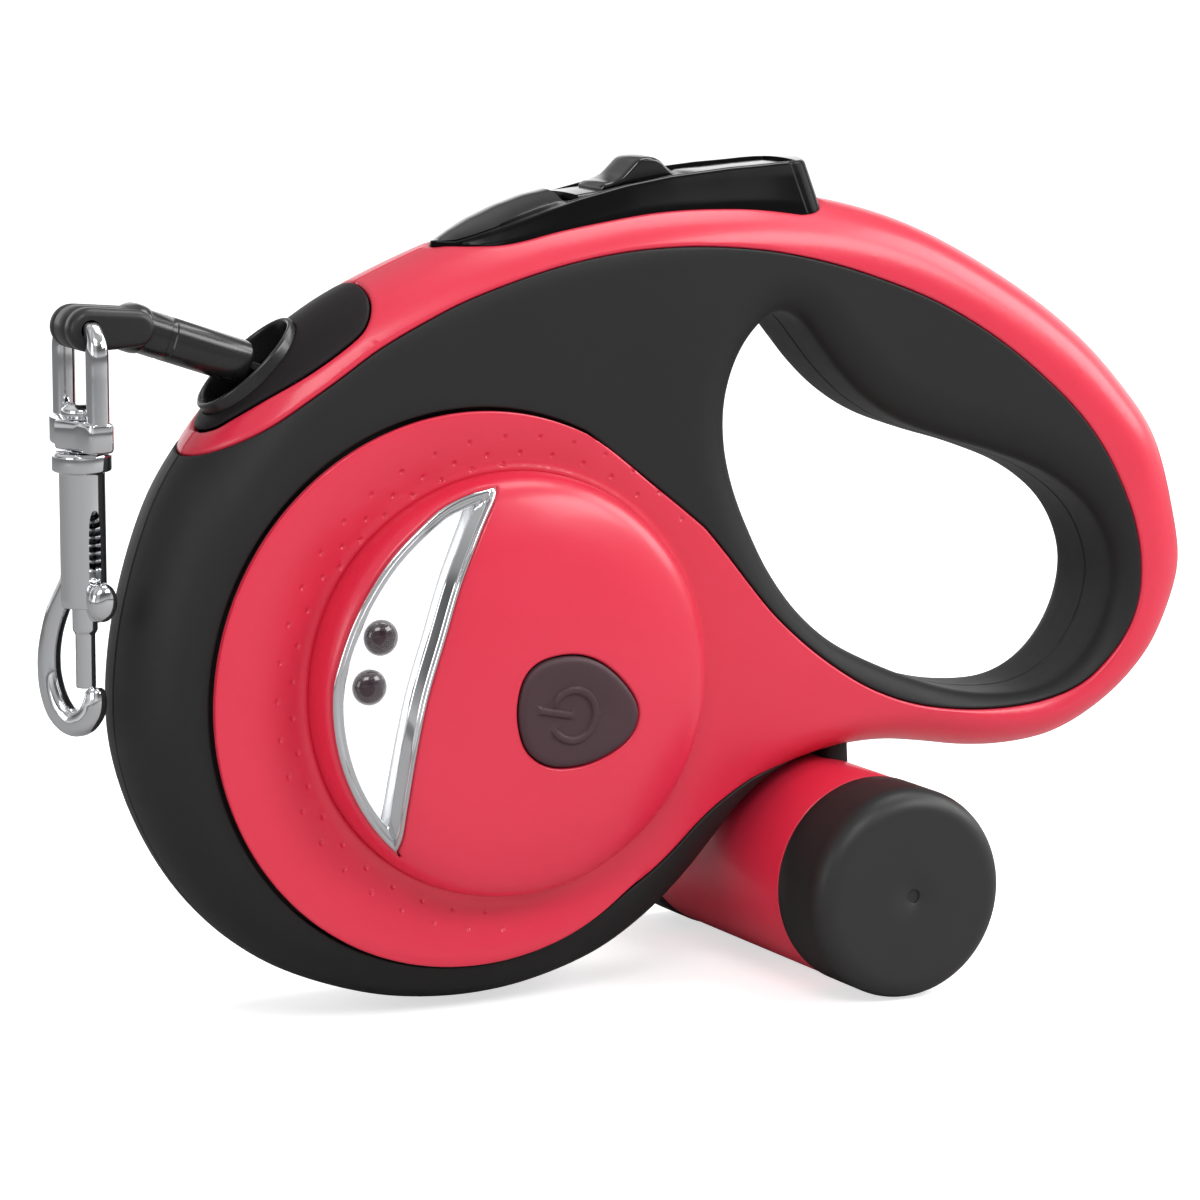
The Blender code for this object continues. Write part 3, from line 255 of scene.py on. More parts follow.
# Painted glow: the reflector emits white light though the torch is off, so it looks bright white.
fill(GLOWING_REFLECTOR.node_tree, GLOWING_REFLECTOR.node_tree.nodes["Principled BSDF"],
     {"Emission Color": (1, 1, 1, 1), "Emission Strength": 0.5})
LED = plastic("lamp_dark", (52, 34, 42), (38, 25, 31), rough=(0.06, 0.1),
              grain=900.0, depth=0.00001, coat=0.6)
BOARD = plastic("board_green", (24, 96, 52), (30, 110, 60), rough=(0.4, 0.5))
FILM = plastic("bag_film", (48, 52, 58), (58, 62, 68), rough=(0.4, 0.55),
               grain=400.0, depth=0.0001)
CARD = plastic("card_core", (176, 150, 116), (160, 134, 100), rough=(0.85, 0.92),
               grain=700.0, depth=0.00006)
TAPE = woven("woven_tape", dark=(14, 14, 15), light=(34, 34, 36))
CLEAR = glass("clear_window")
SATIN = plastic("satin_black_sleeve", (24, 24, 25), (20, 20, 21), rough=(0.24, 0.32),
                grain=1200.0, depth=0.00001, coat=0.25)
TAPE_LOOP = plastic("coated_tape_loop", (24, 24, 25), (19, 19, 20), rough=(0.42, 0.52),
                    grain=900.0, depth=0.00004, coat=0.1)

BY_SLOT = {"red_plastic": RED, "black_plastic": BLACK, "gloss_black": GLOSS,
           "insert_black": INSERT_BLACK, "button_rubber": RUBBER, "chrome": CHROME,
           "steel": STEEL, "clear_lens": CLEAR, "reflector": GLOWING_REFLECTOR, "led_dark": LED,
           "reel_plastic": GREY, "tape_nylon": TAPE, "board_green": BOARD, "bag_film": FILM,
           "card_core": CARD}
SLOT_OF = {part["node"]: part["material_slot"] for part in frame["record"]["subparts"]}
for name, cad_part in frame["nodes"].items():
    for slot in cad_part.material_slots:
        is_cap = name in ("near_cap", "far_cap")
        slot.material = CAP_BLACK if is_cap else BY_SLOT[SLOT_OF[name]]

# ---------------------------------------------------------------- driving dimensions, mm
HALF_REEL, HALF_GRIP = 15.0, 13.0        # half thickness of the casing at reel and grip
EDGE_W, EDGE_W_TAIL = 11.0, 7.3          # reach of the rounding inside the outline
DISC_C, DISC_R = (1.5, -0.6), 49.3       # round face over the reel
DOME_C, DOME_R = (8.5, 0.0), 37.4        # torch dome
HOLE_DROP = 4.6                          # how far the casing falls at the hand opening
WALL = 1.7                               # wall of the outer skins
SEAM = 0.35                              # least half height of an outer edge
GROOVE = 0.06                            # half the gap between red and black
SIDES = ((-1, "near"), (1, "far"))

# measured lines in plan, (x, z)
CASE = [  # casing outline
    (154.6, 9), (153.2, 21), (148.8, 34.9), (141.5, 44.8), (131.5, 54.7), (117.4, 64.7),
    (99.4, 74.4), (82.8, 80), (65, 83), (52.4, 83.7), (40.3, 83.4), (28.4, 82), (16.5, 80),
    (2.9, 76.4), (-12.1, 70.6), (-22.6, 65.2), (-33.4, 57.2), (-43.4, 46), (-51.5, 33.6),
    (-57.3, 16), (-59.3, -1), (-57.2, -15), (-51, -29), (-42.5, -40), (-32, -48.2),
    (-20, -53.6), (-8, -56.8), (5, -57.8), (17, -56.6), (29.5, -53), (39.8, -47.2),
    (48.4, -40), (56, -31.8), (62.5, -25.6), (70.5, -21.4), (80, -19.5), (90, -19.2),
    (99, -20.3), (108, -21.8), (117, -22.2), (126, -21), (135, -17), (143, -11), (149.6, -3)]
HAND = [  # hand opening
    (64.8, 60.2), (61.6, 58.6), (58.3, 54.9), (56, 50), (54.9, 44.5), (55.2, 38), (57, 31),
    (60, 24), (64, 16.5), (69.5, 9.3), (76.5, 3.2), (85, -1.4), (95, -5.6), (105, -8.6),
    (114.4, -9.7), (121.5, -9), (127.5, -6), (132, -1), (134.6, 5), (135, 11), (132.6, 17.5),
    (128, 23), (120.5, 28), (110, 32.2), (100, 35.3), (90, 39), (82.5, 43.6), (76.6, 49),
    (72, 54.5), (68.3, 58.8)]
BAND = [  # line between red and black, round the hand opening
    (-56, 37.5), (-50.6, 40.2), (-44, 43), (-35.6, 47.1), (-28.6, 51.4), (-22, 55.5),
    (-15.7, 59.5), (-7.8, 63.4), (1.5, 67.3), (13.8, 71), (24, 73.2), (35, 74.5), (47, 74.6),
    (60, 73.3), (72, 70.8), (83, 67.5), (95, 62.9), (104.5, 57.9), (112.2, 52.9), (118.5, 48),
    (124.5, 42.8), (129.5, 37.5), (133.6, 31.8), (137, 25.5), (139.7, 18.8), (141, 12),
    (140.7, 5), (138.3, -1), (134, -6.2), (128.5, -10.3), (121, -12.6), (112, -13.3),
    (102, -12.7), (92, -10.8), (83, -7.3), (75.5, -2.8), (68.5, 2.4), (62, 8.2), (56.5, 14.5),
    (51.6, 20.4), (46.6, 26), (41, 31.6)]
NECK = [  # the same line after it leaves the round face
    (37.2, -36.2), (41.6, -32.8), (46.4, -28.6), (51.7, -25), (58.5, -21.9), (65.5, -20.6),
    (72, -20.2), (78, -21.5), (82, -25)]
INSERT = [  # inner edge of the outlet insert
    (-5, 84), (-9.5, 78), (-12.6, 73.4), (-13.8, 70), (-14.8, 66.9), (-17.4, 63), (-22, 59.6),
    (-28, 55.9), (-34.5, 52.2), (-39.5, 48.9), (-42.6, 46.6), (-45.3, 45.4), (-48.6, 46.6)]
OPEN_SCREWS = [(-35.6, 35.8), (-36.0, -36.0), (30.0, -45.0), (103.0, 53.0)]  # far side


# ---------------------------------------------------------------- lines
def catmull(points, closed, per=10):
    """Catmull-Rom curve with per points to each span."""
    points = np.array(points, float)
    count = len(points)
    out = []
    for i in range(count if closed else count - 1):
        a, b, c, d = (points[k % count if closed else min(max(k, 0), count - 1)]
                      for k in range(i - 1, i + 3))
        for k in range(per):
            t = k / per
            out.append(0.5 * ((2 * b) + (c - a) * t + (2 * a - 5 * b + 4 * c - d) * t * t
                              + (3 * b - a - 3 * c + d) * t ** 3))
    if not closed:
        out.append(points[-1])
    return np.array(out)


def even(points, count, closed=True):
    """The same line in equal steps."""
    line = np.vstack([points, points[:1]]) if closed else np.asarray(points)
    run = np.concatenate([[0], np.cumsum(np.linalg.norm(np.diff(line, axis=0), axis=1))])
    at = np.linspace(0, run[-1], count + 1)[:-1] if closed else np.linspace(0, run[-1], count)
    return np.stack([np.interp(at, run, line[:, k]) for k in range(line.shape[1])], 1)


def relax(line, rounds, closed=True):
    """Takes the small kinks out of a dense line."""
    line = np.array(line, float)
    for _ in range(rounds):
        soft = 0.25 * np.roll(line, 1, 0) + 0.5 * line + 0.25 * np.roll(line, -1, 0)
        if not closed:
            soft[[0, -1]] = line[[0, -1]]
        line = soft
    return line


def ccw(line):
    """The line turned anticlockwise in plan."""
    line = np.array(line, float)
    after = np.roll(line, -1, 0)
    area = 0.5 * float((line[:, 0] * after[:, 1] - line[:, 1] * after[:, 0]).sum())
    return line if area > 0 else line[::-1].copy()


def outward(line, closed=True):
    """Unit normals, pointing out of an anticlockwise line."""
    if closed:
        tangent = np.roll(line, -1, 0) - np.roll(line, 1, 0)
    else:
        tangent = np.gradient(line, axis=0)
    tangent /= np.maximum(np.linalg.norm(tangent, axis=1), 1e-9)[:, None]
    return np.stack([tangent[:, 1], -tangent[:, 0]], 1)


def grow(line, distance, closed=True):
    distance = np.asarray(distance, float)
    return line + outward(line, closed) * (distance[:, None] if distance.ndim else distance)


def ease(t):
    t = np.clip(t, 0, 1)
    return t * t * (3 - 2 * t)


def turn(count):
    """Angles once round."""
    return np.linspace(0, 2 * math.pi, count, endpoint=False)


def oval(centre, a, b, angles):
    return np.stack([centre[0] + a * np.cos(angles), centre[1] + b * np.sin(angles)], 1)


def arc(centre, radius, angles):
    return oval(centre, radius, radius, angles)


def circle(centre, radius, count, start=0.0):
    return arc(centre, radius, start + turn(count))


def squared(value, power):
    """Power of the size, keeping the sign: squares off a circle's cosine or sine."""
    return np.sign(value) * np.abs(value) ** power


def at_y(plan, y):
    """(x, z) points placed at y, one value or one for each point."""
    return np.stack([plan[:, 0], np.broadcast_to(y, len(plan)), plan[:, 1]], 1)


def at_z(plan, z):
    """(x, y) points placed at z."""
    return np.column_stack([plan, np.broadcast_to(z, len(plan))])


def inside(points, loop):
    x, y = points[:, 0], points[:, 1]
    hit = np.zeros(len(points), bool)
    for (x0, y0), (x1, y1) in zip(loop, np.roll(loop, -1, 0)):
        spans = (y0 > y) != (y1 > y)
        if spans.any():
            hit ^= spans & (x < (x1 - x0) * (y - y0) / (y1 - y0 + 1e-15) + x0)
    return hit


def nearest(points, starts, ends):
    """Distance from each point to a set of segments, and the direction off them."""
    gap = np.full(len(points), 1e9)
    foot = np.zeros((len(points), 2))
    along = ends - starts
    square = np.maximum((along * along).sum(1), 1e-12)
    for first in range(0, len(points), 4000):
        some = points[first:first + 4000]
        t = ((some[:, None, :] - starts[None]) * along[None]).sum(2) / square[None]
        feet = starts[None] + np.clip(t, 0, 1)[:, :, None] * along[None]
        far = ((some[:, None, :] - feet) ** 2).sum(2)
        best = far.argmin(1)
        each = np.arange(len(some))
        gap[first:first + 4000] = np.sqrt(far[each, best])
        foot[first:first + 4000] = feet[each, best]
    away = points - foot
    return gap, away / np.maximum(np.linalg.norm(away, axis=1), 1e-9)[:, None]


def to_line(points, line, closed=True):
    if closed:
        return nearest(points, line, np.roll(line, -1, 0))
    return nearest(points, line[:-1], line[1:])


def edge_gap(plan, edges):
    """Distance from each plan point to edges given as index pairs."""
    return nearest(plan, plan[edges[:, 0]], plan[edges[:, 1]])[0]


def centre_gap(plan, centres):
    """Distance to the nearest of some centres, endless when there are none."""
    gaps = [np.hypot(*(plan - np.array(centre)).T) for centre in centres]
    return np.min(gaps, axis=0, initial=np.inf)


def polar(plan, centre):
    x, z = (plan - np.array(centre)).T
    return np.hypot(x, z), np.arctan2(z, x)


# ---------------------------------------------------------------- casing shape
def half_at(plan):
    return HALF_REEL - (HALF_REEL - HALF_GRIP) * ease((plan[:, 0] - 40) / 55)


def edge_at(plan):
    """Reach of the rounding, less low down on the tail."""
    tail = ease((plan[:, 0] - 45) / 30) * (1 - ease((plan[:, 1] + 10) / 22))
    return EDGE_W - (EDGE_W - EDGE_W_TAIL) * tail


def edge_depth(plan, half):
    """How far inside the outline the casing is as thick as half."""
    share = np.minimum(half / half_at(plan), 0.999)
    return edge_at(plan) * (1 - np.sqrt(np.maximum(1 - share ** 2, 0)))


def hole_edge(plan):
    """Reach of the rounding round the hand opening, wider towards the top."""
    return 5.2 + 2.3 * ease((plan[:, 1] - 5) / 22)


def band_line():
    """Line between red and black: round the hand, round the disc and along the neck."""
    start = math.atan2(34.5 - DISC_C[1], 36.5 - DISC_C[0])
    stop = math.atan2(-40.5 - DISC_C[1], 31.5 - DISC_C[0]) + 2 * math.pi
    disc = arc(DISC_C, DISC_R, np.linspace(start, stop, 60))
    line = catmull(np.vstack([BAND, disc, NECK]), False, 6)
    return relax(even(line, 900, False), 4, False)


def soften(line, at, reach, rounds):
    """Smooths a line only near one place."""
    line = line.copy()
    gap = np.hypot(line[:, 0] - at[0], line[:, 1] - at[1])
    weight = ease((reach - gap) / (reach * 0.6))[:, None]
    for _ in range(rounds):
        line[1:-1] += weight[1:-1] * ((line[:-2] + line[2:]) / 2 - line[1:-1])
    return line


CASE_L = relax(even(ccw(catmull(CASE, True)), 520), 3)
CASE_N = outward(CASE_L)
HAND_L = grow(relax(even(ccw(catmull(HAND, True)), 300), 3), 1.7)
BAND_L = soften(band_line(), at=(36.0, 34.0), reach=15.0, rounds=700)
INSERT_L = ccw(relax(even(catmull(INSERT, False, 8), 160, False), 3, False))
INSERT_CUT = grow(INSERT_L, 0.16)


def trim_from(line):
    """Closes a band line outside the casing, from under the grip round the tail and top."""
    first, last = (int(np.argmin(np.linalg.norm(CASE_L - np.array(point), axis=1)))
                   for point in ((80.0, -19.5), (-50.5, 35.5)))
    count = (last - first) % len(CASE_L) + 1
    return np.vstack([line, np.roll(grow(CASE_L, 6.0), -first, 0)[:count:9]])


# sign of the offset from the band line that leads into the red
RED_SIDE = 1.0 if inside(grow(BAND_L, 0.5, False)[450:451], trim_from(BAND_L))[0] else -1.0
BAND_RED = grow(BAND_L, RED_SIDE * GROOVE, False)
BAND_BLACK = grow(BAND_L, -RED_SIDE * GROOVE, False)
RED_LOOP, BLACK_CUT = trim_from(BAND_RED), trim_from(BAND_BLACK)


def off_line(plan, line, sign):
    """Distance and direction off a closed line, with its own normal where they touch."""
    gap, away = to_line(plan, line)
    touch = gap < 0.02
    if touch.any():
        best = np.argmin(((plan[touch][:, None] - line[None]) ** 2).sum(2), 1)
        away[touch] = sign * outward(line)[best]
    return gap, away


def case_height(plan):
    """Half thickness of the casing, its unit normal and the distance to the outline."""
    half, reach = half_at(plan), edge_at(plan)
    case_gap, away = off_line(plan, CASE_L, -1.0)
    t = np.clip((reach - case_gap) / reach, 0, 1)
    up = np.sqrt(np.maximum(1 - t * t, 0))
    y = half * up
    flat = -(half * t / reach)[:, None] * away

    reach = hole_edge(plan)
    hand_gap, away = off_line(plan, HAND_L, 1.0)
    t = np.clip((reach - hand_gap) / reach, 0, 1)
    rise = np.sqrt(np.maximum(1 - t * t, 0))
    y = y - HOLE_DROP * (1 - rise)
    tilted = flat * rise[:, None] - (HOLE_DROP * t / reach)[:, None] * away * up[:, None]
    flat = np.where((t > 0)[:, None], tilted, flat)
    normal = at_y(flat, np.where(t > 0, up * rise, up))
    normal /= np.maximum(np.linalg.norm(normal, axis=1), 1e-9)[:, None]
    return y, normal, case_gap


# ---------------------------------------------------------------- mesh builders
def shade(mesh, sharp):
    mesh.polygons.foreach_set("use_smooth", [True] * len(mesh.polygons))
    mesh.set_sharp_from_angle(angle=math.radians(sharp))


def mesh_of(name, verts, faces, mat, sharp=35.0):
    """An object from design millimetres, closed and facing out."""
    mesh = bpy.data.meshes.new(name)
    mesh.from_pydata([tuple(p) for p in world(verts)], [],
                     [tuple(int(i) for i in face) for face in faces])
    bm = bmesh.new()
    bm.from_mesh(mesh)
    bmesh.ops.remove_doubles(bm, verts=bm.verts, dist=2e-7)
    bmesh.ops.dissolve_degenerate(bm, edges=bm.edges, dist=1e-7)
    loose = [v for v in bm.verts if not v.link_faces]
    if loose:
        bmesh.ops.delete(bm, geom=loose, context="VERTS")
    wire = [e for e in bm.edges if not e.link_faces]
    if wire:
        bmesh.ops.delete(bm, geom=wire, context="EDGES")
    open_edges = [e for e in bm.edges if len(e.link_faces) == 1]
    if open_edges:
        bmesh.ops.holes_fill(bm, edges=open_edges, sides=10)
    bmesh.ops.recalc_face_normals(bm, faces=bm.faces)
    bm.to_mesh(mesh)
    bm.free()
    shade(mesh, sharp)
    obj = bpy.data.objects.new(name, mesh)
    mesh.materials.append(mat)
    bpy.context.scene.collection.objects.link(obj)
    return obj


def show(obj, body, slot, *nodes):
    """Fixes an object to a moving body, in place of the named CAD nodes."""
    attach(obj, body)
    if nodes:
        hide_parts(*nodes)


def cut_with(obj, cutter, sharp=32):
    """Takes a closed cutter out of an object and removes the cutter."""
    cut = obj.modifiers.new("cut", "BOOLEAN")
    cut.object, cut.operation, cut.solver = cutter, "DIFFERENCE", "EXACT"
    bpy.context.view_layer.update()
    graph = bpy.context.evaluated_depsgraph_get()
    mesh = bpy.data.meshes.new_from_object(obj.evaluated_get(graph))
    obj.modifiers.clear()
    obj.data = mesh
    bpy.data.objects.remove(cutter, do_unlink=True)
    shade(mesh, sharp)
    return obj


def region(lines, points, pick):
    """Triangles of the picked part of the plan, from (line, closed) pairs and free points."""
    edges, first = [], 0
    for line, closed in lines:
        count = len(line)
        edges += [(first + i, first + (i + 1) % count)
                  for i in range(count if closed else count - 1)]
        first += count
    every = np.vstack([*(line for line, _ in lines), points])
    got = delaunay_2d_cdt([Vector(p) for p in every], edges, [], 0, 1e-4)
    plan = np.array([(p[0], p[1]) for p in got[0]])
    tris = np.array([face for face in got[2] if len(face) == 3], int)
    a = plan[tris[:, 1]] - plan[tris[:, 0]]
    b = plan[tris[:, 2]] - plan[tris[:, 0]]
    solid = np.abs(a[:, 0] * b[:, 1] - a[:, 1] * b[:, 0]) > 1e-7
    tris = tris[pick(plan[tris].mean(1)) & solid]
    used = np.unique(tris)
    back = np.full(len(plan), -1)
    back[used] = np.arange(len(used))
    return plan[used], back[tris]


def border(tris):
    """Directed edges that only one triangle uses."""
    seen = {}
    for a, b in np.vstack([tris[:, (0, 1)], tris[:, (1, 2)], tris[:, (2, 0)]]):
        key = (a, b) if a < b else (b, a)
        seen[key] = None if key in seen else (int(a), int(b))
    return [edge for edge in seen.values() if edge is not None]


def rounding(gap, radius):
    """Drop of a quarter-round edge at a distance from it."""
    t = np.clip(1 - gap / radius, 0, 1)
    return radius * (1 - np.sqrt(np.maximum(1 - t * t, 0)))


def sheet(name, side, tris, top, low, mat, between=None):
    """Closes two layers of the same triangles round the border.

    between(i, edge) gives points between top and low at vertex i of a border edge.
    """
    count = 2 * len(top)
    verts = [top, low]
    faces = [tuple(t) for t in tris] + [tuple(t[::-1] + len(top)) for t in tris]
    made = {}
    for edge, pair in enumerate(border(tris)):
        chain = []
        for i in pair:
            points = between(i, edge) if between else []
            key = (i, len(points))
            if key not in made:
                made[key] = list(range(count, count + len(points)))
                if points:
                    verts.append(np.array(points))
                count += len(points)
            chain.append([i] + made[key] + [i + len(top)])
        a, b = chain
        if len(a) == len(b):
            faces += [(a[k + 1], b[k + 1], b[k], a[k]) for k in range(len(a) - 1)]
        else:
            faces.append(tuple(a[::-1] + b))
    verts = np.vstack(verts)
    verts[:, 1] *= side
    return mesh_of(name, verts, faces, mat)


def offsets(line, distances, closed=True):
    return [(grow(line, d, closed), closed) for d in distances]


def circles(centre, radii, count):
    return [(circle(centre, radius, count), True) for radius in radii]


def quarter_rows(line, reach, steps):
    """Offsets that carry a rounded edge, in equal angle steps."""
    return offsets(line, [reach * (1 - math.cos(math.pi / 2 * i / steps))
                          for i in range(steps + 1)])


def outline_rows(steps):
    return quarter_rows(CASE_L, -edge_at(CASE_L), steps)


def grid(low, high, step):
    """Points in staggered rows."""
    return np.array([(x + (step / 2 if row % 2 else 0), z)
                     for row, z in enumerate(np.arange(low[1], high[1], step * 0.87))
                     for x in np.arange(low[0], high[0], step)])


def loft(rows, ring=False):
    """Closed rows of equal length joined in order, capped, or in a ring back to the first."""
    count, last = len(rows[0]), len(rows) - 1
    faces = []
    for k in range(last + 1 if ring else last):
        a, b = k * count, ((k + 1) % len(rows)) * count
        for i in range(count):
            j = (i + 1) % count
            faces.append((a + i, a + j, b + j, b + i))
    if not ring:
        faces.append(tuple(range(count)))
        faces.append(tuple(last * count + i for i in reversed(range(count))))
    return np.vstack([np.asarray(row, float) for row in rows]), faces


def lofted(name, rows, mat, sharp=35.0, ring=False):
    return mesh_of(name, *loft(rows, ring), mat, sharp)


def joined(first, second):
    """Two closed parts as one list of vertices and faces."""
    moved = [tuple(i + len(first[0]) for i in face) for face in second[1]]
    return np.vstack([first[0], second[0]]), first[1] + moved


def axes_of(axis):
    """The unit axis and two directions square to it."""
    axis = np.array(axis, float)
    axis /= np.linalg.norm(axis)
    across = np.cross(axis, (0, 0, 1.0) if abs(axis[2]) < 0.95 else (1.0, 0, 0))
    across /= np.linalg.norm(across)
    return axis, across, np.cross(across, axis)


def turned(profile, centre, axis, count):
    """Rows of a closed (radius, along) profile turned about an axis, to loft as a ring."""
    axis, across, other = axes_of(axis)
    angles = turn(count)
    spokes = np.cos(angles)[:, None] * across + np.sin(angles)[:, None] * other
    return [np.asarray(centre) + axis * h + spokes * max(radius, 0.0) for radius, h in profile]


def round_profile(points, radius):
    """Rounds the corners of a (radius, along) profile. Points on the axis stay sharp."""
    points = np.array(points, float)
    out = []
    for i, corner in enumerate(points):
        if corner[0] < 1e-6:
            out.append(corner)
            continue
        back, ahead = points[i - 1] - corner, points[(i + 1) % len(points)] - corner
        back_len, ahead_len = np.linalg.norm(back), np.linalg.norm(ahead)
        reach = min(radius, back_len * 0.45, ahead_len * 0.45)
        start = corner + back / back_len * reach
        stop = corner + ahead / ahead_len * reach
        out += [(1 - t) ** 2 * start + 2 * t * (1 - t) * corner + t ** 2 * stop
                for t in np.linspace(0, 1, 4)]
    return out


def tube_along(path, radius, count, up=(1.0, 0, 0), flat=1.0, power=2.0):
    """Rows of a bar along a path; flat scales it along up, power squares it off."""
    radius = np.broadcast_to(np.asarray(radius, float), (len(path),))
    tangents = np.gradient(path, axis=0)
    tangents /= np.linalg.norm(tangents, axis=1)[:, None]
    cos, sin = (squared(wave(turn(count)), 2 / power)[:, None] for wave in (np.cos, np.sin))
    rows = []
    for point, tangent, size in zip(path, tangents, radius):
        across = np.cross(tangent, up)
        across /= np.linalg.norm(across)
        rows.append(point + size * (cos * across + flat * sin * np.cross(across, tangent)))
    return rows


def capped(rows, steps, bulge):
    """Adds rounded ends to a tube's rows."""
    def end(last, before):
        centre = last.mean(0)
        out = centre - before.mean(0)
        out /= np.linalg.norm(out)
        reach = np.linalg.norm(last - centre, axis=1).mean() * bulge
        angles = [math.pi / 2 * k / steps for k in range(1, steps + 1)]
        return [centre + out * reach * math.sin(a) + (last - centre) * max(math.cos(a), 0.02)
                for a in angles]
    return end(rows[0], rows[1])[::-1] + rows + end(rows[-1], rows[-2])


# ---------------------------------------------------------------- torch
# dome surface as (radius, y), from the centre out to the rim
DOME_PROFILE = relax(even(catmull(
    [(37.4, 13.2), (37.4, 15.2), (37.3, 17.2), (36.6, 19.6), (34.7, 21.7), (31.2, 23.3),
     (24.5, 24.95), (12, 26.1), (0, 26.4)], False, 12), 300, False), 6, False)
DOME_PROFILE = DOME_PROFILE[DOME_PROFILE[:, 1] > 16.6][::-1]
DOME_TANGENT = np.gradient(DOME_PROFILE, axis=0)
DOME_TANGENT /= np.linalg.norm(DOME_TANGENT, axis=1)[:, None]

# the two sides of the crescent window in plan (x, z), from the upper tip to the lower
LEFT_ARC = [(3.6, 35.6), (-2.8, 34.4), (-8.8, 31.4), (-17.2, 24.2), (-23.5, 15.0),
            (-27.1, 5.0), (-28.3, -5.2), (-27.0, -13.9), (-23.4, -21.6), (-18.6, -27.0),
            (-16.2, -28.9)]
RIGHT_ARC = [(3.6, 35.6), (2.6, 33.6), (-0.6, 28.8), (-5.1, 20.2), (-8.6, 10.6),
             (-11.9, 0.5), (-14.0, -9.8), (-15.0, -18.4), (-15.4, -24.6), (-16.2, -28.9)]
N_ARC = 70
BEZEL_LEFT, BEZEL_RIGHT = 1.55, 2.7      # width of the chrome bezel on each side
GLASS_LEFT, GLASS_RIGHT = 1.62, 2.8      # inset of the lens and the reflector
PANE = 0.5                               # thickness of the lens and the reflector
LED_HOLE = 2.75
LEDS = (("led_upper", (-18.2, 11.0)), ("led_lower", (-20.4, 2.6)))
POWER_SHAPE = [(28.8, -5.0), (26.6, -0.6), (21.8, 3.9), (16.4, 6.0), (10.2, 5.6), (6.6, 3.2),
               (5.1, -1.4), (5.3, -6), (7.0, -10.2), (11.2, -13.0), (17.0, -13.4),
               (22.6, -12.0), (27.2, -9.2)]
POWER_L = relax(even(ccw(catmull(POWER_SHAPE, True, 12)), 160), 10)


def dome_surf(plan):
    """Height of the dome, its unit normal and the radius from its centre."""
    radius, angle = polar(plan, DOME_C)
    along = DOME_PROFILE[:, 0]
    out = np.interp(radius, along, -DOME_TANGENT[:, 1])
    normal = np.stack([out * np.cos(angle), np.interp(radius, along, DOME_TANGENT[:, 0]),
                       out * np.sin(angle)], 1)
    return np.interp(radius, along, DOME_PROFILE[:, 1]), normal, radius


def window_arc(points):
    """Even arc, held within 36.1 of the dome's centre."""
    line = even(catmull(points, False, 10), N_ARC, False)
    off = line - np.array(DOME_C)
    return line - off * (1 - np.minimum(1, 36.1 / np.linalg.norm(off, axis=1)))[:, None]


LEFT, RIGHT = window_arc(LEFT_ARC), window_arc(RIGHT_ARC)


def cross2(a, b):
    return a[0] * b[1] - a[1] * b[0]


def crossing(a, b, a_order, b_order):
    """First crossing of two lines: the segment of each and the point."""
    for i in a_order:
        for j in b_order:
            a_step, b_step, between = a[i + 1] - a[i], b[j + 1] - b[j], b[j] - a[i]
            slant = cross2(a_step, b_step)
            if abs(slant) < 1e-12:
                continue
            t = cross2(between, b_step) / slant
            if 0 <= t <= 1 and 0 <= cross2(between, a_step) / slant <= 1:
                return i, j, a[i] + t * a_step


def inner_arcs(left_width, right_width):
    """The two arcs moved in, and cut where they meet near the tips."""
    left = LEFT - outward(LEFT, False) * left_width
    right = RIGHT + outward(RIGHT, False) * right_width
    half = N_ARC // 2
    up = crossing(left, right, range(N_ARC - 1), range(half))
    down = crossing(left, right, range(N_ARC - 2, -1, -1), range(N_ARC - 2, half - 1, -1))
    return [even(np.vstack([[up[2]], line[up[k] + 1:down[k] + 1], [down[2]]]), N_ARC, False)
            for k, line in enumerate((left, right))]


def crescent(left, right):
    """Both arcs as one loop."""
    return np.vstack([left, right[::-1][1:-1]])


def dome_piece():
    window, button = grow(ccw(crescent(LEFT, RIGHT)), 0.02), grow(POWER_L, 0.25)
    lines = circles(DOME_C, (DOME_R, 37.33, 37.2, 37.0, 36.75, 36.4, 35.9, 35.2, 34.4, 33.4,
                             32.2, 30.8), 260)
    for hole in (window, button):
        lines += offsets(hole, (0.0, 0.1, 0.22, 0.4, 0.6))
    points = [circle(DOME_C, r, max(int(r * 5), 8), r) for r in np.arange(1.5, 30.0, 1.4)]

    def pick(c):
        within = centre_gap(c, [DOME_C]) < DOME_R
        return within & ~inside(c, window) & ~inside(c, button)
    plan, tris = region(lines, np.vstack(points), pick)
    y, normal, radius = dome_surf(plan)
    ends = np.array(border(tris))
    gap = edge_gap(plan, ends[(radius[ends] < DOME_R - 0.02).any(1)])
    top = at_y(plan, y)
    low = top - normal * 1.9
    top = top - normal * rounding(gap, 0.55)[:, None]
    out = plan - np.array(DOME_C)
    out /= np.maximum(np.linalg.norm(out, axis=1), 1e-9)[:, None]

    def skirt(i, edge):
        """The straight skirt below the outer rim."""
        if radius[i] > DOME_R - 0.02 and gap[i] > 0.3:
            x, z = plan[i]
            return [(x, 15.6, z), (x, 13.2, z),
                    (x - out[i][0] * 1.9, 13.2, z - out[i][1] * 1.9)]
        return []
    return sheet("torch_dome_cover", -1, tris, top, low, RED, skirt)


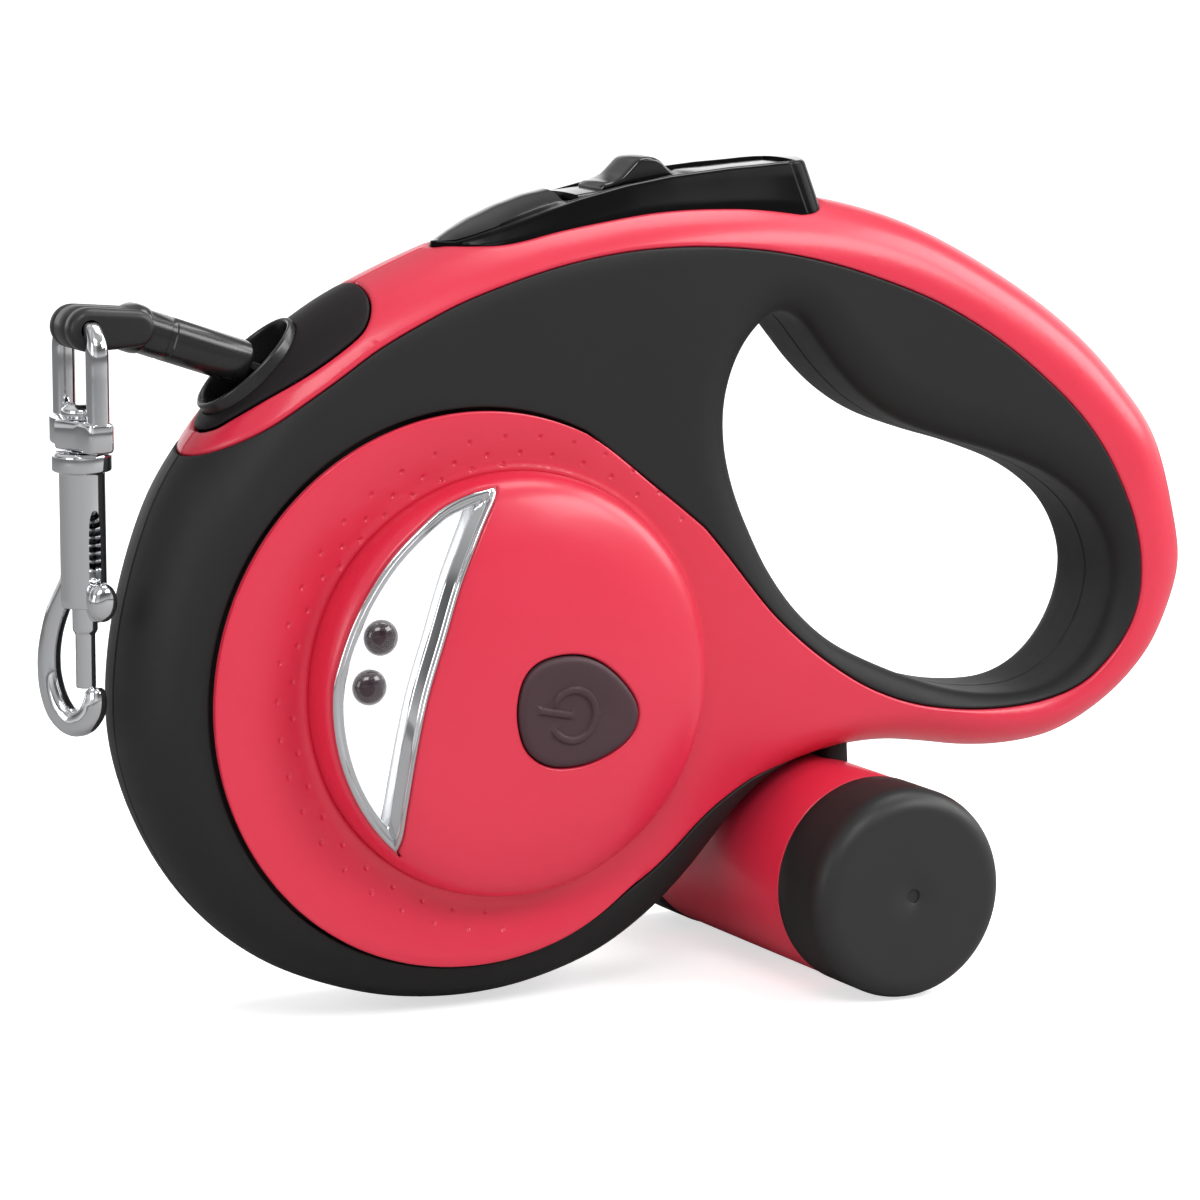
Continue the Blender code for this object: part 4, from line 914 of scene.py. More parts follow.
def torch_bezel():
    """Chrome rim round the crescent: a raised lip that falls away inwards."""
    steps, lip_width = 16, 0.95
    width = np.repeat((BEZEL_LEFT, BEZEL_RIGHT), (N_ARC, N_ARC - 2))
    outer = crescent(LEFT, RIGHT)
    inner = crescent(*inner_arcs(BEZEL_LEFT, BEZEL_RIGHT))
    y, normal, _ = dome_surf(outer)
    rows = [at_y(outer, y) - normal * 1.7]
    for k in range(steps + 1):
        t = k / steps
        plan = outer * (1 - t) + inner * t
        y, normal, _ = dome_surf(plan)
        across = width * t
        lip = 0.62 * np.sin(np.clip(across / lip_width, 0, 1) * math.pi) ** 0.7
        fall = -1.25 * np.clip((across - 0.8) / 1.9, 0, 1) ** 0.9 - 0.35 * (k == steps)
        height = 0.08 + np.where(across < lip_width, lip, 0.0) + fall
        rows.append(at_y(plan, y) + normal * height[:, None])
    rows.append(at_y(inner, dome_surf(inner)[0] - 4.3))
    for row in rows:
        row[:, 1] *= -1
    return lofted("torch_bezel_chrome", rows, CHROME, 50, ring=True)


def crescent_sheet(name, drop, mat, bowl=0.0, holes=()):
    """A pane below the dome surface, bowl deeper away from its edge."""
    loop = ccw(crescent(*inner_arcs(GLASS_LEFT, GLASS_RIGHT)))
    lines = [(loop, True)]
    for centre in holes:
        lines += circles(centre, [LED_HOLE], 40)
    plan, tris = region(lines, grid((-30, -30), (6, 37), 1.5),
                        lambda c: inside(c, loop) & (centre_gap(c, holes) > LED_HOLE))
    y = dome_surf(plan)[0] - drop - bowl * ease(to_line(plan, loop)[0] / 5)
    top = at_y(plan, y)
    return sheet(name, -1, tris, top, top - (0, PANE, 0), mat)


def led_piece(name, centre):
    profile = [(0, 18.0), (2.6, 18.0), (2.6, 19.8)]
    profile += [(3.15 * math.cos(a), 20.2 + 2.1 * math.sin(a))
                for a in np.linspace(-0.15, math.pi / 2, 14)[:-1]]
    profile.append((0, 22.3))
    rows = turned(profile, (centre[0], 0, centre[1]), (0, -1, 0), 48)
    return lofted(name, rows, LED, ring=True)


def power_piece():
    """Rubber button with a raised sign: an open ring and a bar."""
    centre = np.array((15.4, -4.3))
    ring = arc(centre, 4.4, np.radians(np.linspace(-142, 142, 60)))
    bar = centre + np.linspace((-6.3, 1.3), (-0.7, 0.1), 13)
    lines = offsets(POWER_L, (0.0, -0.12, -0.3, -0.55, -0.9, -1.4))
    for line in (ring, bar):
        lines += offsets(line, (-0.75, -0.5, -0.3, 0.3, 0.5, 0.75), False)
    plan, tris = region(lines, grid((2, -16), (32, 9), 0.9), lambda c: inside(c, POWER_L))
    y = dome_surf(plan)[0]
    gap = to_line(plan, POWER_L)[0]
    sign = np.minimum(to_line(plan, ring, False)[0], to_line(plan, bar, False)[0])
    top = at_y(plan, y + 0.55 - rounding(gap, 1.1) * 0.9 - 0.35 * ease((gap - 1.5) / 6)
               + 0.5 * ease((0.72 - sign) / 0.3))
    low = at_y(plan, np.minimum(22.9, y - 0.9))
    return sheet("power_button_cap", -1, tris, top, low, RUBBER)


show(dome_piece(), "case", "red_plastic", "torch_dome")
show(torch_bezel(), "case", "chrome", "torch_bezel")
show(crescent_sheet("torch_reflector_bowl", drop=3.2, mat=GLOWING_REFLECTOR, bowl=0.4,
                    holes=[centre for _, centre in LEDS]),
     "case", "reflector", "torch_reflector")
show(crescent_sheet("torch_lens_window", drop=1.7, mat=CLEAR),
     "case", "clear_lens", "torch_lens")
for name, centre in LEDS:
    show(led_piece(name + "_lamp", centre), "case", "led_dark", name)
show(power_piece(), "torch_switch", "button_rubber", "power_button")

# ---------------------------------------------------------------- brake bezel lines
# half width where the bezel meets the casing, as (x, half width)
BEZEL_WIDTH = [(1.2, 0.3), (2.0, 2.2), (3.2, 4.2), (5.0, 6.2), (8.0, 8.2), (11.0, 9.2),
               (15.0, 9.6), (21.0, 9.6), (66.0, 9.6), (71.0, 9.3), (73.6, 8.3), (74.9, 6.8),
               (75.5, 5.0), (75.8, 3.0)]
BEZEL_CURVE = relax(even(catmull(BEZEL_WIDTH, False, 8), 500, False), 8, False)
# heights by x, as a row of x and a row of z: the rim, and the deck's middle line
BEZEL_RIM = ((1.2, 4.0, 9.0, 14.0, 20.5, 26.7, 35.9, 44.7, 56.8, 63.7, 68.0, 72.0, 76.0),
             (75.3, 76.3, 78.1, 79.6, 81.6, 83.3, 85.3, 86.6, 87.65, 87.95, 88.15, 88.25,
              88.3))
BEZEL_MID = ((1.2, 2.1, 5.2, 9.2, 14.3, 19.4, 24.0, 29.7, 36.9, 46.9, 59.0, 68.6, 76.0),
             (75.7, 76.3, 78.1, 80.1, 82.2, 83.8, 84.7, 85.6, 86.6, 87.5, 88.2, 88.5, 88.6))


def bezel_half(x):
    return np.interp(x, BEZEL_CURVE[:, 0], BEZEL_CURVE[:, 1])


def bezel_cut(margin, deeper):
    """The outline moved in to where the casing is as wide as the bezel, and its zone."""
    above = (CASE_L[:, 0] > 1.0) & (CASE_L[:, 0] < 76.2) & (CASE_L[:, 1] > 60)
    line, normal = CASE_L[above], CASE_N[above]
    depth = edge_depth(line, bezel_half(line[:, 0]) + margin) + deeper
    low = line - normal * depth[:, None]
    return low, ccw(np.vstack([low, (line + normal * 4.0)[::-1]]))


BEZEL_LINE, BEZEL_ZONE = bezel_cut(margin=0.12, deeper=0.0)
_, LINER_ZONE = bezel_cut(margin=0.3, deeper=2.2)


# ---------------------------------------------------------------- casing skins
# small round dents in curved rows round the torch: radius, first, last, shift in degrees
DIMPLE_ROWS = ((43.4, 0, 27, 0.0), (40.5, 1, 26, 4.4), (38.6, 6, 13, 0.0))
DIMPLE_START, DIMPLE_PITCH = 38, 8.85    # degrees
DIMPLES = np.vstack([
    arc(DOME_C, radius,
        np.radians(DIMPLE_START + DIMPLE_PITCH * np.arange(first, last) + shift))
    for radius, first, last, shift in DIMPLE_ROWS])
TRIM_STEPS = (0.0, 0.1, 0.25, 0.45, 0.7, 1.0)   # mesh rows inside a red edge


def near_dish(plan):
    """Extra height of the red round face on the torch side, dished round the dome."""
    radius, angle = polar(plan, DISC_C)
    angle = np.abs(angle)
    lip = ease((angle - math.radians(38)) / math.radians(34))     # 0 towards the tail
    front = ease((angle - math.radians(70)) / math.radians(80))   # 1 away from the tail
    to_rim = np.maximum(DISC_R - radius, 0)
    to_dome = np.maximum(polar(plan, DOME_C)[0] - DOME_R, 0)
    share = to_dome / np.maximum(to_dome + to_rim, 1e-6)
    rise = 1.5 * ease(share * 1.02) ** 1.1
    bowl = (-0.2 - 1.3 * front) * (1 - ease(share / 0.85))
    foot = 0.9 * np.clip(1 - to_dome / 2.2, 0, 1) ** 2 * (1 - 0.4 * front)
    return (lip * rise + bowl) * ease((DISC_R + 0.5 - radius) / 1.2) + foot


def far_dish(plan):
    """A low ridge just inside the round face on the far side."""
    radius, _ = polar(plan, DISC_C)
    return 1.2 * ease((radius - 37) / 8) * ease((DISC_R - 0.6 - radius) / 4.0)


def dimple_depth(plan):
    return 0.26 * ease((0.6 - centre_gap(plan, DIMPLES)) / 0.5)


def skin(name, side, plan, tris, mat, edge_radius, extra=None, dents=None):
    """A closed sheet on the casing shape. extra adds height, dents takes it away."""
    base, normal, case_gap = case_height(plan)
    if extra is not None:
        step = 0.05
        slope = np.stack([(extra(plan + move) - extra(plan - move)) / (2 * step)
                          for move in ((step, 0), (0, step))], 1)
        normal = normal + at_y(-slope, 0.0) * normal[:, 1:2]
        normal /= np.linalg.norm(normal, axis=1)[:, None]
        base = base + extra(plan)
    ends = np.array(border(tris))
    on_case = (case_gap[ends] < 0.05).all(1)
    on_hand = (to_line(plan, HAND_L)[0][ends] < 0.05).all(1)
    drop = rounding(edge_gap(plan, ends[~(on_case | on_hand)]), edge_radius)
    top = at_y(plan, base)
    low = top - normal * WALL
    top = top - normal * drop[:, None]
    if dents is not None:
        top = top - normal * dents(plan)[:, None]
    outer = np.unique(ends[on_case])
    top[outer, 1] = np.maximum(top[outer, 1], SEAM)
    low[:, 1] = np.maximum(low[:, 1], 0.12)

    def fold(i, edge):
        """Points that turn an outer edge or a hand-opening edge inwards at mid thickness."""
        x, y, z = top[i]
        if on_case[edge]:
            steps = [(0.2, 0.16), (0.6, 0.12)]
        elif on_hand[edge]:
            steps = [(0.0, height) for height in np.linspace(y, SEAM, 5)[1:]]
            steps += [(0.25, 0.14), (WALL, 0.12)]
        else:
            return []
        flat = normal[i, [0, 2]]
        flat = flat / max(np.linalg.norm(flat), 1e-6)
        return [(x - flat[0] * inset, height, z - flat[1] * inset) for inset, height in steps]
    return sheet(name, side, tris, top, low, mat, fold)


def red_skin(side, which):
    domes = [DOME_C] if side < 0 else []
    hole = DOME_R + 0.1
    lines = outline_rows(14)
    lines += offsets(BAND_RED, [RED_SIDE * step for step in TRIM_STEPS], False)
    lines += offsets(INSERT_CUT, TRIM_STEPS)
    lines += [(BEZEL_ZONE, True)] + offsets(BEZEL_LINE, (-0.12, -0.3, -0.6, -1.0), False)
    points = [circle(DISC_C, radius, 200, k * 0.0157)
              for k, radius in enumerate(np.arange(38.5, 49.0, 0.75))]
    points = np.vstack(points + [grid((-60, -60), (156, 86), 2.6)])
    if side < 0:
        steps = (0.0, 0.12, 0.3, 0.6, 1.0, 1.6, 2.4)
        lines += circles(DOME_C, [hole + step for step in steps], 260)
        points = [points[centre_gap(points, DIMPLES) > 1.0], DIMPLES]
        for radius, count in ((0.85, 16), (0.62, 16), (0.48, 14), (0.34, 10), (0.18, 6)):
            points += [circle(dimple, radius, count) for dimple in DIMPLES]
        points = np.vstack(points)
        points = points[centre_gap(points, domes) > DOME_R + 0.5]

    def pick(c):
        return (inside(c, CASE_L) & ~inside(c, HAND_L) & inside(c, RED_LOOP)
                & ~inside(c, INSERT_CUT) & ~inside(c, BEZEL_ZONE)
                & (centre_gap(c, domes) > hole))
    plan, tris = region(lines, points, pick)
    return skin(which + "_trim_cover", side, plan, tris, RED, edge_radius=0.7,
                extra=near_dish if side < 0 else far_dish,
                dents=dimple_depth if side < 0 else None)


def black_skin(side, which):
    screws = OPEN_SCREWS if side > 0 else []
    lines = outline_rows(14) + quarter_rows(HAND_L, hole_edge(HAND_L), 10)
    steps = (0.0, 0.06, 0.15, 0.3, 0.6)
    lines += offsets(BAND_BLACK, [-RED_SIDE * step for step in steps], False)
    lines += offsets(INSERT_CUT, (0.0, 0.1, 0.3, 0.6))
    for centre in screws:
        lines += circles(centre, (3.0, 3.1, 3.3, 3.7), 36)

    def pick(c):
        return (inside(c, CASE_L) & ~inside(c, HAND_L) & ~inside(c, BLACK_CUT)
                & ~inside(c, INSERT_CUT) & (centre_gap(c, screws) > 3.0))
    plan, tris = region(lines, grid((-60, -60), (156, 86), 2.6), pick)
    return skin(which + "_shell_cover", side, plan, tris, BLACK, edge_radius=0.3)


def liner(side, which):
    """The inner shell behind the skins, below the surface."""
    gaps = [grow(HAND_L, 2.4), LINER_ZONE, grow(INSERT_L, 0.3)]
    centres, radius, count = (([DOME_C], DOME_R + 0.4, 160) if side < 0
                              else (OPEN_SCREWS, 3.4, 30))
    lines = outline_rows(9) + [(gap, True) for gap in gaps]
    for centre in centres:
        lines += circles(centre, [radius], count)

    def pick(c):
        keep = inside(c, CASE_L) & (centre_gap(c, centres) > radius)
        for gap in gaps:
            keep &= ~inside(c, gap)
        return keep
    plan, tris = region(lines, grid((-60, -60), (156, 86), 5.0), pick)
    y, normal, _ = case_height(plan)
    if side < 0:
        # lower under the dished face
        y = y - 1.9 * ease((52 - centre_gap(plan, [DOME_C])) / 9) * (plan[:, 0] < 40)
    top, low = (at_y(plan, y) - normal * depth for depth in (2.1, 3.1))
    top[:, 1] = np.maximum(top[:, 1], 0.14)
    low[:, 1] = np.maximum(low[:, 1], 0.12)
    return sheet(which + "_shell_inner", side, tris, top, low, BLACK)


for side, which in SIDES:
    show(red_skin(side, which), "case", "red_plastic", which + "_trim")
for side, which in SIDES:
    show(black_skin(side, which), "case", "black_plastic", which + "_shell")
for side, which in SIDES:
    show(liner(side, which), "case", "black_plastic")


# ---------------------------------------------------------------- brake
def casing_top(x, half):
    """Height of the casing at x, at half its thickness away from the middle."""
    above = CASE_L[:, 1] > 55
    line, normal = CASE_L[above], CASE_N[above]
    order = np.argsort(line[:, 0])
    line, normal = line[order], normal[order]
    line = line - normal * edge_depth(line, half)[:, None]
    return np.interp(x, line[:, 0], line[:, 1])


def bezel_section(x):
    """One cross section: a deck with a sunk tray, a rim and a flared foot."""
    foot = float(bezel_half(x))
    rim = foot * 0.80
    foot_z = casing_top(x, foot)
    rim_z = max(rim_height(x), foot_z + 0.3)
    mid_z = max(float(np.interp(x, *BEZEL_MID)), rim_z + 0.2)
    tray = ease((x - 23.6) / 1.3) * (1 - ease((x - 72.2) / 0.9))   # 1 inside the tray
    floor_z = 78.9 if x < 50 else 78.2
    inner = max(min(6.45, rim - 0.8), rim * 0.6)                   # half width of the tray

    def blend(y, sunk):
        deck = mid_z - (mid_z - rim_z) * abs(y / rim) ** 2.2
        return y, deck * (1 - tray) + sunk * tray
    half = [blend(inner * 0.94 * k / 5, floor_z) for k in range(6)]
    wall = [(max(inner - 0.1, inner * 0.97), 0.08), (inner, 0.5),   # (y, share of the height)
            (inner + min(0.02, inner * 0.01), 0.92), (inner + min(0.22, inner * 0.05), 1.0)]
    half += [blend(y, floor_z + (rim_z + 0.05 - floor_z) * share) for y, share in wall]
    shoulder, shoulder_z = rim + 0.06, rim_z - 0.55
    half += [(max(rim - 0.75, rim * 0.72),
              rim_z + 0.06 * tray + (mid_z - rim_z) * 0.12 * (1 - tray)),
             (max(rim - 0.4, rim * 0.85), rim_z - 0.02),
             (max(rim - 0.12, rim * 0.95), rim_z - 0.18)]
    half += [(shoulder + (foot - shoulder) * t, shoulder_z * (1 - t) + foot_z * t)
             for t in (0.0, 0.25, 0.5, 0.75, 1.0)]
    low = min(foot_z - 2.0, floor_z - 0.6) if tray > 0 else foot_z - 2.0
    half += [(foot, foot_z - 0.8), (foot - 0.05, low + 0.2), (foot * 0.5, low)]
    lean = 0.30 * float(ease((x - 60) / 13))
    points = half + [(0.0, low)] + [(-y, z) for y, z in half[:0:-1]]
    return [(x - lean * (z - foot_z), y, z) for y, z in points]


def brake_bezel():
    spans = ((1.2, 12, 22), (12, 24.5, 12), (24.5, 30, 12), (30, 68, 30), (68, 75.8, 24))
    stations = [[x for x, _ in BEZEL_WIDTH]] + [np.linspace(*span) for span in spans]
    rows = [bezel_section(x) for x in np.unique(np.concatenate(stations))]
    return lofted("brake_bezel_tray", rows, BEZEL_BLACK, 55)


def soft_bar(name, top, low_at, half, edge, crown):
    """A bar under the side-view line top (x, z), rounded along both long edges."""
    line = even(catmull(top, False, 8), 60, False)
    section = [((half - edge) * k / 8, -crown * ((half - edge) * k / 8 / half) ** 2)
               for k in range(9)]
    section += [(half - edge + edge * math.sin(a), -crown - edge + edge * math.cos(a))
                for a in (math.pi / 2 * k / 5 for k in range(1, 6))]
    rows = []
    for point, up in zip(line, -outward(line, False)):
        ring = [(point[0] + up[0] * d, y, point[1] + up[1] * d) for y, d in section]
        ring.append((point[0], half, min(low_at(point[0]), ring[-1][2] - 0.05)))
        rows.append(ring + [(x, -y, z) for x, y, z in ring[:0:-1]])
    return lofted(name, rows, GLOSS, 40)


def pad_height(x):
    """The sloping low part of the button."""
    return 84.0 + 0.117 * (x - 28)


def rim_height(x):
    return float(np.interp(x, *BEZEL_RIM))


def button_pad():
    top = [(26.9, 83.9), *((x, pad_height(x)) for x in (28, 36, 46)),
           (48.4, pad_height(48.4) + 0.1)]
    # (x, depth below the rim)
    top += [(x, rim_height(x) - depth)
            for x, depth in ((49.6, 0.9), (52, 0.35), (58, 0.42), (65, 0.3), (70.2, 0.3))]
    top += [(71.4, rim_height(71) - 0.8), (71.7, rim_height(71) - 1.8)]
    return soft_bar("brake_button_pad", top, lambda x: 82.6 if x < 49 else 84.6,
                    half=6.0, edge=0.55, crown=0.2)


def button_leg():
    rows = [at_z(oval((27.7, -4.0), 1.05, 1.35, turn(24)), z) for z in (48.2, 48.6, 66, 83.0)]
    return lofted("brake_button_leg", rows, GLOSS)


def lock_ridge():
    top = [(31.9, pad_height(31.9) + 0.5), (32.8, pad_height(32.8) + 1.0), (34.4, 85.9),
           (36.2, 86.7), (37.8, 88.1), (39.2, 89.35), (40.6, 89.85), (42.4, 89.9),
           (44.0, 89.3), (45.6, 87.9), (47.0, 86.9), (47.6, 86.5)]
    return soft_bar("lock_slider_ridge", top, lambda x: pad_height(x) + 0.35,
                    half=4.55, edge=0.6, crown=0.25)


show(brake_bezel(), "case", "gloss_black", "brake_bezel")
show(button_pad(), "button", "gloss_black", "brake_button")
show(button_leg(), "button", "gloss_black")
show(lock_ridge(), "lock", "gloss_black", "lock_slider")

# ---------------------------------------------------------------- outlet
EYE_N = np.array((-0.66, 0, 0.751))      # eyelet axis, out of the casing
EYE_T = np.array((0.751, 0, 0.66))       # long way of the oval
EYE_C = np.array((-34.2, 0, 56.9))


def eyelet_rows(items):
    """Ovals (half length, half width, along the axis) round the eyelet axis."""
    angles = turn(72)
    return [EYE_C + EYE_N * h + np.outer(a * np.cos(angles), EYE_T)
            + np.outer(b * np.sin(angles), (0, 1, 0)) for a, b, h in items]


def insert_block():
    """Both halves of the insert as one block, with the oval eyelet hole cut out."""
    lines = outline_rows(12) + offsets(INSERT_L, (0.0, -0.08, -0.2, -0.4))
    plan, tris = region(lines, grid((-52, 44), (0, 86), 1.4),
                        lambda c: inside(c, CASE_L) & inside(c, INSERT_L))
    y, normal, case_gap = case_height(plan)
    ends = np.array(border(tris))
    on_case = (case_gap[ends] < 0.05).all(1)
    drop = rounding(edge_gap(plan, ends[~on_case]), 0.4)
    far = at_y(plan, y) - normal * drop[:, None]
    far[np.unique(ends[on_case]), 1] = 0.0
    near = far * (1, -1, 1)
    count = len(plan)
    faces = [tuple(t) for t in tris] + [tuple(t[::-1] + count) for t in tris]
    faces += [(b, a, a + count, b + count) for a, b in ends[~on_case]]
    block = mesh_of("outlet_insert_block", np.vstack([near, far]), faces, INSERT_BLACK, 40)
    hole = eyelet_rows([(11.15, 7.75, -9.0), (11.15, 7.75, 9.0)])
    return cut_with(block, lofted("work_cut", hole, INSERT_BLACK))


def eyelet_ring():
    rows = eyelet_rows([
        (11.0, 7.6, -4.0), (11.0, 7.6, -0.2), (10.95, 7.55, 0.12), (10.75, 7.4, 0.34),
        (10.45, 7.15, 0.4), (10.15, 6.9, 0.3), (9.95, 6.7, 0.02), (9.8, 6.55, -0.5),
        (9.2, 6.15, -2.0), (8.9, 5.9, -4.0)])
    return lofted("outlet_eyelet_ring", rows, SATIN, 50, ring=True)


show(insert_block(), "case", "insert_black", "outlet_insert")
show(eyelet_ring(), "case", "gloss_black", "outlet_eyelet")

# ---------------------------------------------------------------- leash
PULL = np.array((-0.9450, 0.0, 0.3270))  # way the tape leaves the casing
PULL = PULL / np.linalg.norm(PULL)
PULL_UP = np.array((PULL[2], 0, -PULL[0]))
OUTLET = np.array((-30.4, 0.0, 55.5))
TANGENT = -float(np.dot(OUTLET, PULL))   # where the pull line passes nearest the reel axis
HOOK_X, BAR_Z = -64.8, 64.6              # middle of the bail bar
HOOK_Y = -1.5


def leash_point(along, y=0.0, up=0.0):
    return OUTLET + PULL * along + PULL_UP * up + np.array((0, y, 0))


def sleeve():
    cos, sin = squared(np.cos(turn(40)), 0.72), squared(np.sin(turn(40)), 0.72)
    # (along the pull, scale of the section)
    stations = ((4.6, 0.80), (4.7, 0.90), (5.0, 0.97), (5.5, 1.0), (12, 1.0), (19.4, 1.0),
                (19.6, 0.965), (20.5, 0.965), (20.7, 1.0), (24.2, 1.0), (24.5, 1.0),
                (24.8, 1.07), (25.4, 1.1), (26.2, 1.1), (26.9, 1.07), (27.6, 0.96),
                (28.2, 0.84), (28.4, 0.7))
    rows = [[leash_point(along, 5.25 * scale * a, 3.85 * scale * b) for a, b in zip(cos, sin)]
            for along, scale in stations]
    return lofted("tape_sleeve_tube", rows, SATIN, 40)


def loop_piece():
    """Tape end turned round the bail bar: one soft mass with a hole for the bar."""
    end = leash_point(27.2)[[0, 2]]
    bar = np.array((HOOK_X, BAR_Z))
    lean = math.atan2(*(end - bar)[::-1])
    loop = np.vstack([
        arc(bar, 3.75, np.linspace(lean + math.pi * 0.47, lean + math.pi * 1.53, 40)),
        arc(end, 3.15, np.linspace(lean - math.pi * 0.5, lean + math.pi * 0.5, 24))])
    loop = relax(even(loop, 96, True), 3)
    hole = arc(bar, 1.78, polar(loop, bar)[1])
    half, edge = 5.45, 1.5
    # (y, inset): a rounded edge, two fine grooves and the other rounded edge
    rim = [(half - edge * (1 - math.cos(a)), edge * (1 - math.sin(a)))
           for a in (math.pi / 2 * k / 8 for k in range(9))]
    grooves = [(-2.6, 0), (-2.45, 0.12), (-2.3, 0), (2.3, 0), (2.45, 0.12), (2.6, 0)]
    steps = [(-y, inset) for y, inset in rim] + grooves + rim[::-1]
    rows = [at_y(grow(loop, -inset), HOOK_Y + y) for y, inset in steps]
    rows += [at_y(hole, HOOK_Y + y) for y in (half - 0.05, 0.05 - half)]
    return lofted("tape_loop_end", rows, TAPE_LOOP, 60, ring=True)


def run_piece():
    """The first stretch of tape, from the coil to the sleeve, with a ridge by each edge."""
    rows = []
    for along in np.linspace(TANGENT + 1.0, 5.5, 80):
        rows.append([leash_point(along, face * (-4.7 + 9.4 * k / 12),
                                 face * (0.5 + (0.08 if k in (1, 11) else 0.0)))
                     for face in (1, -1) for k in range(13)])
    return lofted("tape_run_woven", rows, TAPE, 60)


show(sleeve(), "leash", "black_plastic", "tape_sleeve")
show(loop_piece(), "leash", "tape_nylon", "tape_loop")
run = run_piece()
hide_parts("tape_run")
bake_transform(run)


# ---------------------------------------------------------------- bail, hook and bolt
def bail():
    """A bow over a cross block with a round boss, drilled for the swivel."""
    leg = 7.7
    half = [(leg, 47.2), (leg, 52), (leg, 57), (leg, 60.6), (leg - 0.35, 62.6),
            (leg - 1.5, 64.1), (leg - 3.1, BAR_Z)]
    plan = half + [(0.0, BAR_Z)] + [(-y, z) for y, z in half[::-1]]
    path = even(catmull([(HOOK_X, HOOK_Y + y, z) for y, z in plan], False, 8), 90, False)
    radius = 1.62 + 0.28 * ease((64.0 - path[:, 2]) / 3.0)
    bow = loft(tube_along(path, radius, 22, flat=0.95, power=2.7))

    boss, angles = 4.9, turn(64)
    y = 9.7 * squared(np.sin(angles), 0.4)
    x = 2.7 * squared(np.cos(angles), 0.3)
    bulge = np.where(np.abs(y) < boss, np.sqrt(np.maximum(boss ** 2 - y ** 2, 0)) * 0.98, 0)
    x = np.sign(x) * np.maximum(np.abs(x), bulge)
    # (z, scale of the section)
    stations = ((44.3, 0.86), (44.5, 0.95), (44.9, 1.0), (48.7, 1.0), (49.1, 0.97),
                (49.35, 0.86))
    rows = [np.stack([HOOK_X + x * scale, HOOK_Y + y * (1 - (1 - scale) * 0.35),
                      np.full(64, z)], 1) for z, scale in stations]
    rows += [at_z(circle((HOOK_X, HOOK_Y), 1.8, 64), z) for z in (49.35, 44.3)]
    return mesh_of("swivel_bail_casting", *joined(bow, loft(rows, ring=True)), CHROME, 42)


def hook():
    """Hollow hook body with a slot on the near side."""
    profile = round_profile([
        (2.35, 17.2), (3.75, 17.2), (3.9, 18.4), (3.9, 40.2), (5.05, 40.5), (5.05, 43.2),
        (4.5, 43.7), (1.7, 43.9), (1.7, 49.9), (3.4, 49.9), (3.3, 51.0), (2.2, 51.8),
        (0, 51.9), (0, 37.0), (2.35, 37.0)], 0.28)
    rows = turned(profile, (HOOK_X, HOOK_Y, 0), (0, 0, 1), 64)
    body = lofted("hook_body_casting", rows, CHROME, 42, ring=True)
    slot = [[(HOOK_X + 1.15 * squared(math.cos(a), 0.8), y,
              23.6 + 10.4 * squared(math.sin(a), 0.35)) for a in turn(40)]
            for y in (HOOK_Y - 8, HOOK_Y - 0.4)]
    return cut_with(body, lofted("work_slot", slot, CHROME))


def swivelled(obj, degrees=10):
    """Turns a part about the upright axis of the hook."""
    centre = Vector(world((HOOK_X, HOOK_Y, 0)))
    spin = Matrix.Rotation(math.radians(degrees), 4, "Z")
    obj.data.transform(Matrix.Translation(centre) @ spin @ Matrix.Translation(-centre))
    return obj


def hook_wire():
    """The bend below the body, as (y from the hook's middle, z)."""
    bend = [(2.0, 22.5), (3.4, 20.0), (5.2, 16.6), (6.7, 12.2), (7.4, 7.6), (7.0, 3.0),
            (5.4, -0.9), (3.0, -2.9), (0.6, -2.7), (-1.3, -0.9), (-1.95, 1.2), (-1.9, 2.6)]
    path = even(catmull([(HOOK_X, HOOK_Y + y, z) for y, z in bend], False, 10), 110, False)
    radius = np.interp(np.linspace(0, 1, len(path)),
                       (0, 0.1, 0.3, 0.5, 0.68, 0.84, 0.95, 1.0),     # share of the length
                       (2.0, 1.95, 1.85, 2.0, 2.3, 2.35, 2.0, 1.7))   # radius there
    rows = tube_along(path, radius, 24, flat=0.95, power=2.3)
    return lofted("hook_wire_bend", capped(rows, steps=4, bulge=0.5), CHROME, 50)


def bolt():
    """The sliding bolt and the thumb piece on its near side."""
    profile = round_profile([(0, 3.3), (1.7, 3.3), (1.7, 12.6), (2.15, 13.2), (2.15, 23.6),
                             (1.5, 24.1), (0, 24.1)], 0.3)
    rod = loft(turned(profile, (HOOK_X, HOOK_Y - 0.2, 0), (0, 0, 1), 40), ring=True)
    # (y from the hook's middle, half width in x, half height in z)
    thumb = ((-1.4, 0.95, 3.6), (-4.4, 0.95, 3.6), (-4.75, 1.7, 3.5), (-5.1, 2.35, 3.5),
             (-5.7, 2.6, 3.4), (-6.5, 2.55, 3.2), (-7.1, 2.2, 2.7), (-7.5, 1.5, 1.9),
             (-7.62, 0.5, 0.7))
    rows = [at_y(oval((HOOK_X, 18.6), a, b, turn(36)), HOOK_Y + y) for y, a, b in thumb]
    return mesh_of("hook_bolt_thumb", *joined(rod, loft(rows)), CHROME, 50)


def spring(name, start, stop, radius, turns, wire):
    start, stop = np.asarray(start, float), np.asarray(stop, float)
    axis, across, other = axes_of(stop - start)
    per_turn = 18
    step = np.arange(int(turns * per_turn) + 1)
    angle = 2 * math.pi * step / per_turn
    rise = np.linalg.norm(stop - start) * step / (turns * per_turn)
    path = start + np.outer(rise, axis) + radius * (np.outer(np.cos(angle), across)
                                                    + np.outer(np.sin(angle), other))
    return lofted(name, tube_along(path, wire, 8, up=axis), STEEL, 60)


